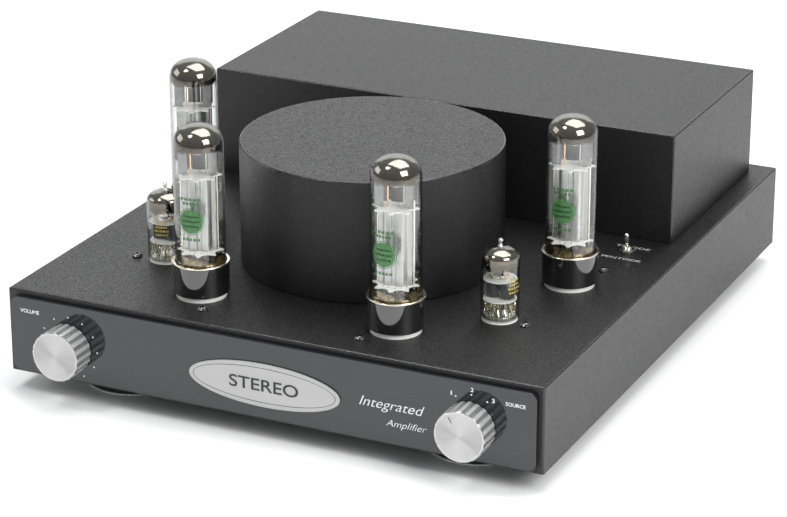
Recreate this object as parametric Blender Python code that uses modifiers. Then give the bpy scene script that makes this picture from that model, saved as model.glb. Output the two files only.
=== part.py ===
"""Integrated stereo tube amplifier: a low steel case on four round feet, with a round cover over the
mains transformer, a long rear cover over the output transformers, four power tubes and two small tubes
that pull out of their sockets, and controls on the front, the deck and the back.

Metres, +Z up, the front faces -Y. The origin is on the floor, under the middle of the object."""

import math

import bmesh
import bpy
from mathutils import Matrix, Vector

# Case
CASE_W, CASE_D, CASE_H = 0.3400, 0.3915, 0.0518
WALL = 0.002
CASE_EDGE = 0.0015
PAST = 0.002  # how far a cutter reaches past what it cuts
WIRE_HOLE_R = 0.0045
FOOT_H = 0.012
FOOT_R, FOOT_EDGE = 0.030, 0.0022
FOOT_X, FOOT_Y = 0.112, 0.151
GAP = 0.0003
END_REACH = 0.0195  # how far the knobs and the speaker terminals stand out of the case

DECK_Z = FOOT_H + CASE_H
FRONT_Y = -CASE_D / 2
REAR_Y = CASE_D / 2
MID_Z = FOOT_H + 0.0223  # the height of the controls and of the connectors

# Bottom plate
PLATE_T = 0.0015
PLATE_GAP = 0.0005
VENT_ROWS, VENTS_PER_ROW, VENT_PITCH = 3, 9, 0.024
VENT_SIZE = (0.005, 0.045)
VENT_ROW_PITCH = 0.100

# Front panel and badge
PANEL_W, PANEL_T = 0.333, 0.003
PANEL_LOW, PANEL_HIGH = FOOT_H + 0.002, FOOT_H + 0.0486
PANEL_CORNER, PANEL_EDGE = 0.0045, 0.0005
BUSHING_CLEAR = 0.0008
BADGE_SIZE = (0.096, 0.0266)
BADGE_T = 0.001
BADGE_XZ = (0.0005, FOOT_H + 0.0228)

# Transformer covers
CAN_Y, CAN_R, CAN_H = -0.0571, 0.0792, 0.0743
COVER_W, COVER_H = 0.3128, 0.0694
COVER_Y = (0.0355, 0.1810)
SHEET = 0.0015
COVER_EDGE = 0.002

# Transformers: outer radius, hole radius, height
MAINS_CORE = (0.066, 0.014, 0.060)
OUTPUT_CORE = (0.052, 0.011, 0.050)
CORE_LIFT = 0.0028
OUTPUT_X, OUTPUT_Y = 0.085, 0.108
CORE_BOLT_R, CORE_NUT_R = 0.004, 0.0065
WASHER_SHARE, WASHER_T, BOLT_END = 0.45, 0.0030, 0.0080  # the share is of the wound ring's radius
BOSS_R, BOSS_H = 0.009, 0.006

# Power tubes, heights measured from the deck
POWER_TUBES = {"front_left": (-0.0625, -0.1565), "front_right": (0.0625, -0.1565),
               "rear_left": (-0.1247, -0.0502), "rear_right": (0.1247, -0.0502)}
POWER_SOCKET_R, POWER_SOCKET_TOP, POWER_SOCKET_LOW = 0.0147, 0.0025, -0.013
POWER_BORE_R = 0.0112
BASE_R, BASE_TOP, BASE_LOW, BASE_FLOOR = 0.0166, 0.0219, 0.0028, 0.0060
RIM_R, RIM_H = 0.0171, 0.0010
BULB_R, BULB_WALL, BULB_LOW, BULB_TOP, BULB_DOME = 0.01475, 0.0010, 0.0070, 0.1043, 0.0125
POWER_PIN_CIRCLE, POWER_PIN_R, POWER_PIN_LOW, POWER_PINS = 0.00873, 0.0012, -0.0082, 8
SPIGOT_R, SPIGOT_LOW = 0.0040, -0.0110
MICA_R, MICA_T, MICA_TEETH = 0.0130, 0.0008, 12
LOWER_MICA, UPPER_MICA = 0.028, 0.074
MICA_TOOTH = 0.0015
ANODE_SIZE, ANODE_CORNER = (0.0190, 0.0105), 0.003
STEM_R = 0.0060
GETTER_POST_R, GETTER_POST_X, GETTER_POST_TOP = 0.0008, 0.006, 0.084

# Small tubes, heights measured from the deck
SMALL_TUBES = {"left": (-0.1086, -0.1160), "right": (0.1086, -0.1160)}
SMALL_SOCKET_R, SMALL_SOCKET_TOP, SMALL_SOCKET_LOW = 0.0104, 0.0005, -0.009
SMALL_BORE_R = 0.0082
SMALL_BULB_R, SMALL_BULB_LOW, SMALL_SHOULDER, SMALL_TOP = 0.0112, 0.0012, 0.0380, 0.0490
SMALL_PIN_CIRCLE, SMALL_PIN_R, SMALL_PIN_LOW, SMALL_PINS = 0.00595, 0.0005, -0.0055, 9
SMALL_WALL, SMALL_NECK, SMALL_TIP_R = 0.0008, 0.0440, 0.0016
SMALL_BUTTON, SMALL_STEM_R = (0.0006, 0.0030), 0.0030  # the button's heights over the bulb's lower edge
SMALL_LOWER_MICA, SMALL_UPPER_MICA = 0.0125, 0.0290
SMALL_ANODE_SIZE, SMALL_ANODE_X = (0.0072, 0.0060), 0.0042
FLANGE_OVER, FLANGE_T = 0.0040, 0.0012

# Front controls
KNOB_X, KNOB_R, FLUTES, FLUTE_DEPTH = 0.1278, 0.0152, 20, 0.0008
KNOB_REAR = FRONT_Y - GAP - PANEL_T - 0.0005
KNOB_FRONT = FRONT_Y - END_REACH
KNOB_BORE = 0.011
SHAFT_R, SHAFT_CLEAR, SHAFT_TAIL = 0.0030, 0.0003, 0.012
BUSHING_R = 0.0042
VOLUME_BODY, SOURCE_BODY = (0.0120, 0.020), (0.0135, 0.026)  # radius, depth

# Mode toggle
TOGGLE_XY = (0.1370, 0.0120)
TOGGLE_LEAN = math.radians(12)
TOGGLE_PIVOT, TOGGLE_REACH = 0.0015, 0.0116
TOGGLE_BUSH_R, TOGGLE_BUSH_TOP = 0.0029, 0.0038
TOGGLE_BORE_R, TOGGLE_BORE_DEPTH = 0.0022, 0.0026
TOGGLE_BODY = (0.0080, 0.0130, 0.0100)
TOGGLE_NUT_R, TOGGLE_NUT_TOP = 0.0050, 0.0021
LEVER_TIP_R, LEVER_BALL_R = 0.0013, 0.0016

# Main board: the parts on it stand in its top face
BOARD_SIZE, BOARD_Y, BOARD_TOP = (0.190, 0.150, 0.0016), 0.060, FOOT_H + 0.0100
BIG_CAN, SMALL_CAN = (0.0125, 0.0270), (0.0080, 0.0200)  # radius, height
BIG_CANS = [(x, 0.020) for x in (-0.062, -0.031, 0.031, 0.062)]
SMALL_CANS = [(x, 0.052) for x in (-0.060, 0.060)]
RELAY_SIZE, RELAYS = (0.020, 0.028, 0.015), [(x, 0.100) for x in (-0.050, 0.050)]
ROOTED = 0.0005

# Rear connectors
INLET_X, SWITCH_X, JACKS_X = -0.128, -0.086, 0.112
INLET_FLANGE, INLET_BODY = (0.0500, 0.0250, 0.0020), (0.0280, 0.0210, 0.0240)
INLET_RECESS, INLET_DEPTH = (0.0244, 0.0170), 0.0160
INLET_BLADE = (0.0020, 0.0040, 0.0140)
INLET_BLADES = ((-0.0070, -0.0020), (0, 0.0020), (0.0070, -0.0020))
SWITCH_FLANGE, SWITCH_BODY = (0.0160, 0.0230, 0.0018), (0.0130, 0.0202, 0.0140)
SWITCH_WELL, SWITCH_DEPTH = (0.0112, 0.0186), 0.0085
ROCKER_HALF, ROCKER_W, ROCKER_HIGH, ROCKER_VALLEY = 0.0086, 0.0104, 0.0032, 0.0020
ROCKER_BELLY = (0.0070, -0.0022, -0.0036)  # where it starts, its depth there and at the middle
TERMINAL_PLATE, POST_R, POST_COLLAR_R = (0.0600, 0.0200, 0.0024), 0.0026, 0.0068
POST_ROOT_R, POST_ROOT = 0.0045, 0.0090
JACK_PLATE, JACK_BACKING = (0.0640, 0.0340, 0.0020), (0.0540, 0.0240, 0.0100)
JACK_COLUMNS, JACK_ROWS = (-0.0200, 0, 0.0200), (-0.0080, 0.0080)
JACK_R, JACK_BORE_R, JACK_END, JACK_FLOOR = 0.0042, 0.0017, 0.0105, 0.0030
WINDOW_CLEAR = 0.0005  # round a body that goes through the rear wall
PLATE_CORNER = 0.002
TERMINALS_X = {"left": -0.027, "right": 0.043}
POST_PITCH = 0.0190
POSTS = ("common", "four_ohm", "eight_ohm")
CAP_R, CAP_BORE_R, CAP_REAR, CAP_EDGE = 0.0062, 0.0029, 0.0062, 0.0009
ROCKER_LEAN = math.radians(8)

WELD = 1e-6
FRONT_TURN = (math.pi / 2, 0, 0)  # local +Z looks forwards, local +Y up
REAR_TURN = (math.pi / 2, 0, math.pi)  # local +Z looks backwards, local +Y up

for old in list(bpy.data.objects):
    bpy.data.objects.remove(old, do_unlink=True)

amplifier = bpy.data.collections.new("tube_amplifier")
workbench = bpy.data.collections.new("workbench")
workbench.hide_render = True
for collection in (amplifier, workbench):
    bpy.context.scene.collection.children.link(collection)


# ---------------------------------------------------------------- materials

def material(name, colour, roughness, metallic=0.0, alpha=1.0):
    made = bpy.data.materials.new(name)
    made.use_nodes = True
    shader = made.node_tree.nodes["Principled BSDF"]
    shader.inputs["Base Color"].default_value = (*colour, 1.0)
    shader.inputs["Roughness"].default_value = roughness
    shader.inputs["Metallic"].default_value = metallic
    shader.inputs["Alpha"].default_value = alpha
    made.diffuse_color = (*colour, alpha)
    return made


POWDER_COAT = material("powder_coat", (0.030, 0.030, 0.032), 0.55)
GLOSS_PANEL = material("gloss_panel", (0.055, 0.057, 0.062), 0.08)
BADGE_METAL = material("badge_metal", (0.80, 0.80, 0.78), 0.30, 1.0)
KNOB_METAL = material("knob_metal", (0.85, 0.85, 0.84), 0.25, 1.0)
CHROME = material("chrome", (0.80, 0.80, 0.82), 0.10, 1.0)
ZINC = material("zinc_steel", (0.60, 0.61, 0.62), 0.40, 1.0)
FOOT_BLACK = material("foot_black", (0.02, 0.02, 0.02), 0.40)
BAKELITE = material("black_base", (0.012, 0.012, 0.012), 0.12)
TUBE_GLASS = material("tube_glass", (0.95, 0.97, 0.96), 0.02, 0.0, 0.25)
PLATE_METAL = material("plate_metal", (0.45, 0.46, 0.47), 0.35, 1.0)
CERAMIC = material("white_ceramic", (0.85, 0.84, 0.80), 0.30)
WINDING_TAPE = material("winding_tape", (0.60, 0.52, 0.20), 0.45)
BLACK_PLASTIC = material("black_plastic", (0.020, 0.020, 0.022), 0.35)
RED_PLASTIC = material("red_plastic", (0.50, 0.02, 0.02), 0.25)
BOARD_GREEN = material("circuit_board", (0.02, 0.14, 0.06), 0.45)
GOLD = material("gold_plate", (0.85, 0.62, 0.25), 0.25, 1.0)


# ---------------------------------------------------------------- shapes, each returned as a bmesh

def baked(obj):
    """The closed mesh that a helper object's modifiers make. The helper is removed."""
    graph = bpy.context.evaluated_depsgraph_get()
    data = bpy.data.meshes.new_from_object(obj.evaluated_get(graph))
    bpy.data.objects.remove(obj, do_unlink=True)
    shape = bmesh.new()
    shape.from_mesh(data)
    bpy.data.meshes.remove(data)
    bmesh.ops.remove_doubles(shape, verts=shape.verts, dist=WELD)
    bmesh.ops.recalc_face_normals(shape, faces=shape.faces)
    return shape


def helper(name, shape):
    """A hidden object on the workbench that holds a shape."""
    data = bpy.data.meshes.new(name)
    shape.to_mesh(data)
    shape.free()
    obj = bpy.data.objects.new(name, data)
    obj.hide_render = True
    obj.display_type = "WIRE"
    workbench.objects.link(obj)
    return obj


def block(size, centre, bevel=0.0, edges="upright", segments=1):
    """A box. edges says which ones are rounded: the upright ones, or upper, all but the lowest four."""
    shape = bmesh.new()
    placing = Matrix.Translation(centre) @ Matrix.Diagonal((*size, 1.0))
    bmesh.ops.create_cube(shape, size=1.0, matrix=placing)
    if bevel:
        low = centre[2] - size[2] / 2 + WELD
        chosen = []
        for edge in shape.edges:
            heights = [vert.co.z for vert in edge.verts]
            upright = abs(heights[0] - heights[1]) > WELD
            if upright or (edges == "upper" and max(heights) > low):
                chosen.append(edge)
        bmesh.ops.bevel(shape, geom=chosen, offset=bevel, segments=segments, profile=0.5,
                        affect="EDGES")
    return shape


def flange(size, corner=PLATE_CORNER):
    """A plate with rounded corners that lies just off the wall behind it, which is at z = 0."""
    return block(size, (0, 0, GAP + size[2] / 2), corner)


def behind(size, thickness):
    """A body that reaches back through the wall from the middle of a plate of that thickness."""
    return block(size, (0, 0, GAP + thickness / 2 - size[2] / 2))


def rod(radius, start, end, sides=16):
    """A round bar from one point to another."""
    start, end = Vector(start), Vector(end)
    along = end - start
    turn = along.to_track_quat("Z", "Y").to_matrix().to_4x4()
    shape = bmesh.new()
    bmesh.ops.create_cone(shape, cap_ends=True, segments=sides, radius1=radius,
                          radius2=radius, depth=along.length,
                          matrix=Matrix.Translation((start + end) / 2) @ turn)
    return shape


def turned(profile, sides, ring=False):
    """A profile of (radius, height) points turned about Z. It runs down the outer side, and a ring's
    profile closes on itself."""
    data = bpy.data.meshes.new("profile")
    count = len(profile)
    steps = count if ring else count - 1
    data.from_pydata([(radius, 0.0, height) for radius, height in profile],
                     [(i, (i + 1) % count) for i in range(steps)], [])
    obj = bpy.data.objects.new("profile", data)
    workbench.objects.link(obj)
    screw = obj.modifiers.new("turn", "SCREW")
    screw.steps = screw.render_steps = sides
    screw.use_merge_vertices = True
    screw.merge_threshold = WELD
    return baked(obj)


def extruded(outline, thickness, middle=0.0):
    """A flat outline of (x, y) points made solid along Z, centred at the height middle."""
    curve = bpy.data.curves.new("outline", "CURVE")
    curve.dimensions = "2D"
    curve.fill_mode = "BOTH"
    curve.extrude = thickness / 2
    spline = curve.splines.new("POLY")
    spline.points.add(len(outline) - 1)
    for point, (x, y) in zip(spline.points, outline):
        point.co = (x, y, 0.0, 1.0)
    spline.use_cyclic_u = True
    obj = bpy.data.objects.new("outline", curve)
    workbench.objects.link(obj)
    shape = baked(obj)
    bmesh.ops.translate(shape, verts=shape.verts, vec=(0, 0, middle))
    return shape


def gathered(shapes):
    """One mesh that holds several shapes that don't touch."""
    whole = bmesh.new()
    for shape in shapes:
        data = bpy.data.meshes.new("gathered")
        shape.to_mesh(data)
        shape.free()
        whole.from_mesh(data)
        bpy.data.meshes.remove(data)
    return whole


def boolean(shape, tool, operation):
    base, other = helper("base", shape), helper("tool", tool)
    step = base.modifiers.new(operation.lower(), "BOOLEAN")
    step.operation = operation
    step.object = other
    result = baked(base)
    bpy.data.objects.remove(other, do_unlink=True)
    return result


def joined(shape, *others):
    for other in others:
        shape = boolean(shape, other, "UNION")
    return shape


def cut(shape, *tools):
    for tool in tools:
        shape = boolean(shape, tool, "DIFFERENCE")
    return shape


def arc(centre, radii, start, end, count):
    """Points on a quarter of an ellipse or a circle, angles in degrees from the outward direction."""
    points = []
    for i in range(count + 1):
        angle = math.radians(start + (end - start) * i / count)
        points.append((centre[0] + radii[0] * math.cos(angle), centre[1] + radii[1] * math.sin(angle)))
    return points


def around(count, radius, first=0.0):
    """Evenly spaced points on a circle."""
    return [(radius * math.cos(first + 2 * math.pi * i / count),
             radius * math.sin(first + 2 * math.pi * i / count)) for i in range(count)]


# ---------------------------------------------------------------- placing

def as_mesh(shape, name, finish):
    data = bpy.data.meshes.new(name)
    bmesh.ops.remove_doubles(shape, verts=shape.verts, dist=WELD)
    bmesh.ops.recalc_face_normals(shape, faces=shape.faces)
    shape.to_mesh(data)
    shape.free()
    data.materials.append(finish)
    data.shade_smooth()
    data.set_sharp_from_angle(angle=math.radians(35))
    return data


def piece(name, data, parent=None, location=(0, 0, 0), rotation=(0, 0, 0)):
    obj = bpy.data.objects.new(name, data)
    amplifier.objects.link(obj)
    obj.parent = parent
    obj.location = location
    obj.rotation_euler = rotation
    return obj


def pivot(name, location, rotation=(0, 0, 0)):
    """An empty on an axis, which the pieces that move about it or along it have as their parent."""
    empty = bpy.data.objects.new(name, None)
    empty.empty_display_size = 0.02
    amplifier.objects.link(empty)
    empty.location = location
    empty.rotation_euler = rotation
    return empty


# ---------------------------------------------------------------- case

def make_case():
    shell = block((CASE_W, CASE_D, CASE_H), (0, 0, FOOT_H + CASE_H / 2), CASE_EDGE, "upper")
    hollow = block((CASE_W - 2 * WALL, CASE_D - 2 * WALL, CASE_H), (0, 0, FOOT_H + CASE_H / 2 - WALL))
    shell = cut(shell, hollow)
    bolts = [(0, CAN_Y), (-OUTPUT_X, OUTPUT_Y), (OUTPUT_X, OUTPUT_Y)]
    deck_low = DECK_Z - WALL
    bosses = [rod(BOSS_R, (x, y, deck_low - BOSS_H), (x, y, deck_low + WALL / 2)) for x, y in bolts]
    shell = joined(shell, gathered(bosses))

    over, under = DECK_Z + PAST, deck_low - PAST
    holes = [rod(CORE_BOLT_R + GAP, (x, y, deck_low - 2 * BOSS_H), (x, y, over), 12) for x, y in bolts]
    holes += [rod(POWER_SOCKET_R + GAP, (x, y, under), (x, y, over), 20) for x, y in POWER_TUBES.values()]
    holes += [rod(SMALL_SOCKET_R + GAP, (x, y, under), (x, y, over), 20) for x, y in SMALL_TUBES.values()]
    toggle_x, toggle_y = TOGGLE_XY
    holes.append(rod(TOGGLE_BUSH_R + GAP, (toggle_x, toggle_y, under), (toggle_x, toggle_y, over), 12))
    wire_y = CAN_Y + (CAN_R + MAINS_CORE[0]) / 2
    holes += [rod(WIRE_HOLE_R, (0, y, under), (0, y, over), 10) for y in (wire_y, OUTPUT_Y)]

    near, far = FRONT_Y - PAST, FRONT_Y + WALL + PAST
    holes += [rod(BUSHING_R + GAP, (x, near, MID_Z), (x, far, MID_Z)) for x in (-KNOB_X, KNOB_X)]

    middle, depth = REAR_Y - WALL / 2, 3 * WALL
    windows = [(INLET_X, *INLET_BODY[:2]), (SWITCH_X, *SWITCH_BODY[:2]), (JACKS_X, *JACK_BACKING[:2])]
    posts = 2 * (POST_PITCH + POST_ROOT_R), 2 * POST_ROOT_R
    windows += [(x, *posts) for x in TERMINALS_X.values()]
    for x, width, height in windows:
        holes.append(block((width + 2 * WINDOW_CLEAR, depth, height + 2 * WINDOW_CLEAR), (x, middle, MID_Z)))
    piece("case", as_mesh(cut(shell, gathered(holes)), "case", POWDER_COAT))


def make_bottom_plate():
    size = (CASE_W - 2 * (WALL + PLATE_GAP), CASE_D - 2 * (WALL + PLATE_GAP), PLATE_T)
    middle = FOOT_H + PLATE_T / 2
    vents = []
    for row in range(VENT_ROWS):
        y = (row - (VENT_ROWS - 1) / 2) * VENT_ROW_PITCH
        for column in range(VENTS_PER_ROW):
            x = (column - (VENTS_PER_ROW - 1) / 2) * VENT_PITCH
            if abs(x) < FOOT_X - FOOT_R - VENT_SIZE[0] or row == 1:
                vents.append(block((*VENT_SIZE, 4 * PLATE_T), (x, y, middle)))
    plate = cut(block(size, (0, 0, middle)), gathered(vents))
    piece("bottom_plate", as_mesh(plate, "bottom_plate", POWDER_COAT))


def make_feet():
    top = FOOT_H - GAP
    round_off = FOOT_EDGE
    profile = [(0, top), (FOOT_R - round_off, top), (FOOT_R, top - round_off),
               *arc((FOOT_R - round_off, round_off), (round_off, round_off), 0, -90, 3), (0, 0)]
    data = as_mesh(turned(profile, 20), "foot", FOOT_BLACK)
    for end, y in (("front", -FOOT_Y), ("rear", FOOT_Y)):
        for side, x in (("left", -FOOT_X), ("right", FOOT_X)):
            piece(f"foot_{end}_{side}", data, location=(x, y, 0))


def make_front_panel():
    height = PANEL_HIGH - PANEL_LOW
    panel = block((PANEL_W, height, PANEL_T), (0, 0, 0), PANEL_CORNER, "upright", 4)
    face = [edge for edge in panel.edges if all(vert.co.z > 0 for vert in edge.verts)]
    bmesh.ops.bevel(panel, geom=face, offset=PANEL_EDGE, segments=1, affect="EDGES")
    middle = (PANEL_HIGH + PANEL_LOW) / 2
    drop = MID_Z - middle
    bore = BUSHING_R + BUSHING_CLEAR
    holes = [rod(bore, (x, drop, -PANEL_T), (x, drop, PANEL_T)) for x in (-KNOB_X, KNOB_X)]
    data = as_mesh(cut(panel, gathered(holes)), "front_panel", GLOSS_PANEL)
    piece("front_panel", data, location=(0, FRONT_Y - GAP - PANEL_T / 2, middle), rotation=FRONT_TURN)

    oval = extruded([(x * BADGE_SIZE[0] / 2, y * BADGE_SIZE[1] / 2) for x, y in around(40, 1.0)], BADGE_T)
    data = as_mesh(oval, "front_badge", BADGE_METAL)
    y = FRONT_Y - GAP - PANEL_T - GAP - BADGE_T / 2
    piece("front_badge", data, location=(BADGE_XZ[0], y, BADGE_XZ[1]), rotation=FRONT_TURN)


def make_covers():
    edge, low = COVER_EDGE, GAP
    outside = [(0, CAN_H), *arc((CAN_R - edge, CAN_H - edge), (edge, edge), 90, 0, 3), (CAN_R, low)]
    inside = [(CAN_R - SHEET, low), (CAN_R - SHEET, CAN_H - SHEET), (0, CAN_H - SHEET)]
    data = as_mesh(turned(outside + inside, 48), "mains_transformer_cover", POWDER_COAT)
    piece("mains_transformer_cover", data, location=(0, CAN_Y, DECK_Z))

    depth, y = COVER_Y[1] - COVER_Y[0], sum(COVER_Y) / 2
    height = COVER_H - GAP
    box = block((COVER_W, depth, height), (0, 0, GAP + height / 2), edge, "upper")
    hollow = block((COVER_W - 2 * SHEET, depth - 2 * SHEET, height), (0, 0, GAP + height / 2 - SHEET))
    data = as_mesh(cut(box, hollow), "output_transformer_cover", POWDER_COAT)
    piece("output_transformer_cover", data, location=(0, y, DECK_Z))


# ---------------------------------------------------------------- transformers

def core(outer, inner, height, sides):
    """A wound ring with rounded shoulders."""
    round_off = height / 5
    top = CORE_LIFT + height
    profile = [(inner + round_off / 2, top), (outer - round_off, top), (outer, top - round_off),
               (outer, CORE_LIFT + round_off), (outer - round_off, CORE_LIFT),
               (inner + round_off / 2, CORE_LIFT), (inner, CORE_LIFT + round_off / 2),
               (inner, top - round_off / 2)]
    return turned(profile, sides, ring=True)


def core_bolt(height, washer_radius):
    """A hexagon bolt with the dished washer that holds a wound ring down."""
    seat = CORE_LIFT + height + GAP
    end, crown, brim = seat + BOLT_END, seat + WASHER_T, seat + WASHER_T / 2
    profile = [(0, end), (CORE_BOLT_R, end), (CORE_BOLT_R, crown), (washer_radius / 2, crown),
               (washer_radius, brim), (washer_radius, seat), (CORE_BOLT_R, seat),
               (CORE_BOLT_R, -WALL - BOSS_H), (0, -WALL - BOSS_H)]
    head = rod(CORE_NUT_R, (0, 0, brim), (0, 0, end - ROOTED), 6)
    return joined(turned(profile, 16), head)


def make_transformers():
    places = {"mains": (0, CAN_Y), "output_left": (-OUTPUT_X, OUTPUT_Y), "output_right": (OUTPUT_X, OUTPUT_Y)}
    for name, (x, y) in places.items():
        outer, inner, height = MAINS_CORE if name == "mains" else OUTPUT_CORE
        ring = as_mesh(core(outer, inner, height, 28 if name == "mains" else 22), "core", WINDING_TAPE)
        bolt = as_mesh(core_bolt(height, outer * WASHER_SHARE), "core_bolt", ZINC)
        piece(f"{name}_transformer", ring, location=(x, y, DECK_Z))
        piece(f"{name}_transformer_bolt", bolt, location=(x, y, DECK_Z))


# ---------------------------------------------------------------- tubes and their sockets

def socket(radius, bore, top, low, sides):
    """A ceramic ring with a flange that is screwed under the deck."""
    flange_top = -WALL - GAP
    wide = radius + FLANGE_OVER
    profile = [(radius, top), (radius, flange_top), (wide, flange_top), (wide, flange_top - FLANGE_T),
               (radius - 2 * GAP, flange_top - FLANGE_T), (radius - 2 * GAP, low), (bore, low), (bore, top)]
    return turned(profile, sides, ring=True)


def star(radius, teeth, depth):
    """A toothed disc's outline."""
    points = []
    for i in range(2 * teeth):
        reach = radius - depth * (i % 2)
        points.append((reach * math.cos(math.pi * i / teeth), reach * math.sin(math.pi * i / teeth)))
    return points


def power_base():
    """The moulded cup under a power tube, with its metal rim, its eight pins and its keyed spigot."""
    bore = BULB_R + GAP
    profile = [(0, BASE_FLOOR), (bore, BASE_FLOOR), (bore, BASE_TOP), (RIM_R, BASE_TOP),
               (RIM_R, BASE_TOP - RIM_H), (BASE_R, BASE_TOP - RIM_H), (BASE_R, BASE_LOW), (0, BASE_LOW)]
    inside = (BASE_LOW + BASE_FLOOR) / 2
    first = math.pi / POWER_PINS
    pins = [rod(POWER_PIN_R, (x, y, POWER_PIN_LOW), (x, y, inside), 6)
            for x, y in around(POWER_PINS, POWER_PIN_CIRCLE, first)]
    pins.append(rod(SPIGOT_R, (0, 0, SPIGOT_LOW), (0, 0, inside), 12))
    return joined(turned(profile, 20), gathered(pins))


def power_bulb():
    """A straight glass bulb with a domed top, open at the bottom."""
    shoulder = BULB_TOP - BULB_DOME
    inner = BULB_R - BULB_WALL
    outside = arc((0, shoulder), (BULB_R, BULB_DOME), 90, 0, 4) + [(BULB_R, BULB_LOW)]
    inside = [(inner, BULB_LOW)] + arc((0, shoulder), (inner, BULB_DOME - BULB_WALL), 0, 90, 4)
    return turned(outside + inside, 20)


def power_electrodes():
    """The glass pinch, the two toothed micas, the anode between them and the getter's post."""
    height, middle = UPPER_MICA - LOWER_MICA, (UPPER_MICA + LOWER_MICA) / 2
    anode = block((*ANODE_SIZE, height), (0, 0, middle), ANODE_CORNER)
    micas = [extruded(star(MICA_R, MICA_TEETH, MICA_TOOTH), MICA_T, z) for z in (LOWER_MICA, UPPER_MICA)]
    stem = rod(STEM_R, (0, 0, BASE_FLOOR + GAP), (0, 0, LOWER_MICA), 10)
    post = rod(GETTER_POST_R, (GETTER_POST_X, 0, UPPER_MICA), (GETTER_POST_X, 0, GETTER_POST_TOP), 6)
    return joined(anode, *micas, gathered([stem, post]))


def small_bulb():
    """A small glass bulb with the pip where it was sealed off, open at the bottom."""
    tip, inner = SMALL_TIP_R, SMALL_BULB_R - SMALL_WALL
    dome = SMALL_NECK - SMALL_SHOULDER
    side = arc((0, SMALL_SHOULDER), (SMALL_BULB_R, dome), 75, 0, 3)
    outside = [(0, SMALL_TOP), (tip, SMALL_TOP - tip), (tip, SMALL_NECK + tip / 2), *side,
               (SMALL_BULB_R, SMALL_BULB_LOW)]
    inside = [(inner, SMALL_BULB_LOW)] + arc((0, SMALL_SHOULDER), (inner, dome - SMALL_WALL), 0, 90, 3)
    return turned(outside + inside, 16)


def small_electrodes():
    """The glass button with nine pins, and on it the micas and the twin anodes."""
    low, high = SMALL_BULB_LOW + SMALL_BUTTON[0], SMALL_BULB_LOW + SMALL_BUTTON[1]
    radius = SMALL_BULB_R - SMALL_WALL - 2 * GAP
    mica_radius = radius - 2 * GAP
    stem = turned([(0, SMALL_LOWER_MICA), (SMALL_STEM_R, SMALL_LOWER_MICA), (SMALL_STEM_R, high),
                   (radius, high), (radius, low), (0, low)], 16)
    pins = [rod(SMALL_PIN_R, (x, y, SMALL_PIN_LOW), (x, y, (low + high) / 2), 6)
            for x, y in around(SMALL_PINS + 1, SMALL_PIN_CIRCLE)[:SMALL_PINS]]
    micas = [rod(mica_radius, (0, 0, z - MICA_T / 2), (0, 0, z + MICA_T / 2), 16)
             for z in (SMALL_LOWER_MICA, SMALL_UPPER_MICA)]
    height, middle = SMALL_UPPER_MICA - SMALL_LOWER_MICA, (SMALL_UPPER_MICA + SMALL_LOWER_MICA) / 2
    anodes = [block((*SMALL_ANODE_SIZE, height), (x, 0, middle)) for x in (-SMALL_ANODE_X, SMALL_ANODE_X)]
    return joined(stem, gathered(pins), gathered(micas), gathered(anodes))


def make_tubes():
    ring = as_mesh(socket(POWER_SOCKET_R, POWER_BORE_R, POWER_SOCKET_TOP, POWER_SOCKET_LOW, 20),
                   "power_socket", CERAMIC)
    parts = {"base": as_mesh(power_base(), "power_base", BAKELITE),
             "glass": as_mesh(power_bulb(), "power_glass", TUBE_GLASS),
             "electrodes": as_mesh(power_electrodes(), "power_electrodes", PLATE_METAL)}
    for place, (x, y) in POWER_TUBES.items():
        piece(f"power_socket_{place}", ring, location=(x, y, DECK_Z))
        axis = pivot(f"power_tube_{place}_axis", (x, y, DECK_Z))
        for part, data in parts.items():
            piece(f"power_tube_{place}_{part}", data, axis)

    ring = as_mesh(socket(SMALL_SOCKET_R, SMALL_BORE_R, SMALL_SOCKET_TOP, SMALL_SOCKET_LOW, 16),
                   "small_socket", CERAMIC)
    parts = {"glass": as_mesh(small_bulb(), "small_glass", TUBE_GLASS),
             "electrodes": as_mesh(small_electrodes(), "small_electrodes", PLATE_METAL)}
    for place, (x, y) in SMALL_TUBES.items():
        piece(f"small_socket_{place}", ring, location=(x, y, DECK_Z))
        axis = pivot(f"small_tube_{place}_axis", (x, y, DECK_Z))
        for part, data in parts.items():
            piece(f"small_tube_{place}_{part}", data, axis)


# ---------------------------------------------------------------- front controls and the toggle

def fluted_outline():
    """A knob's edge, scalloped all round."""
    points = []
    for i in range(2 * FLUTES):
        reach = KNOB_R - FLUTE_DEPTH * (i % 2)
        angle = math.pi * i / FLUTES
        points.append((reach * math.cos(angle), reach * math.sin(angle)))
    return points


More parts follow.
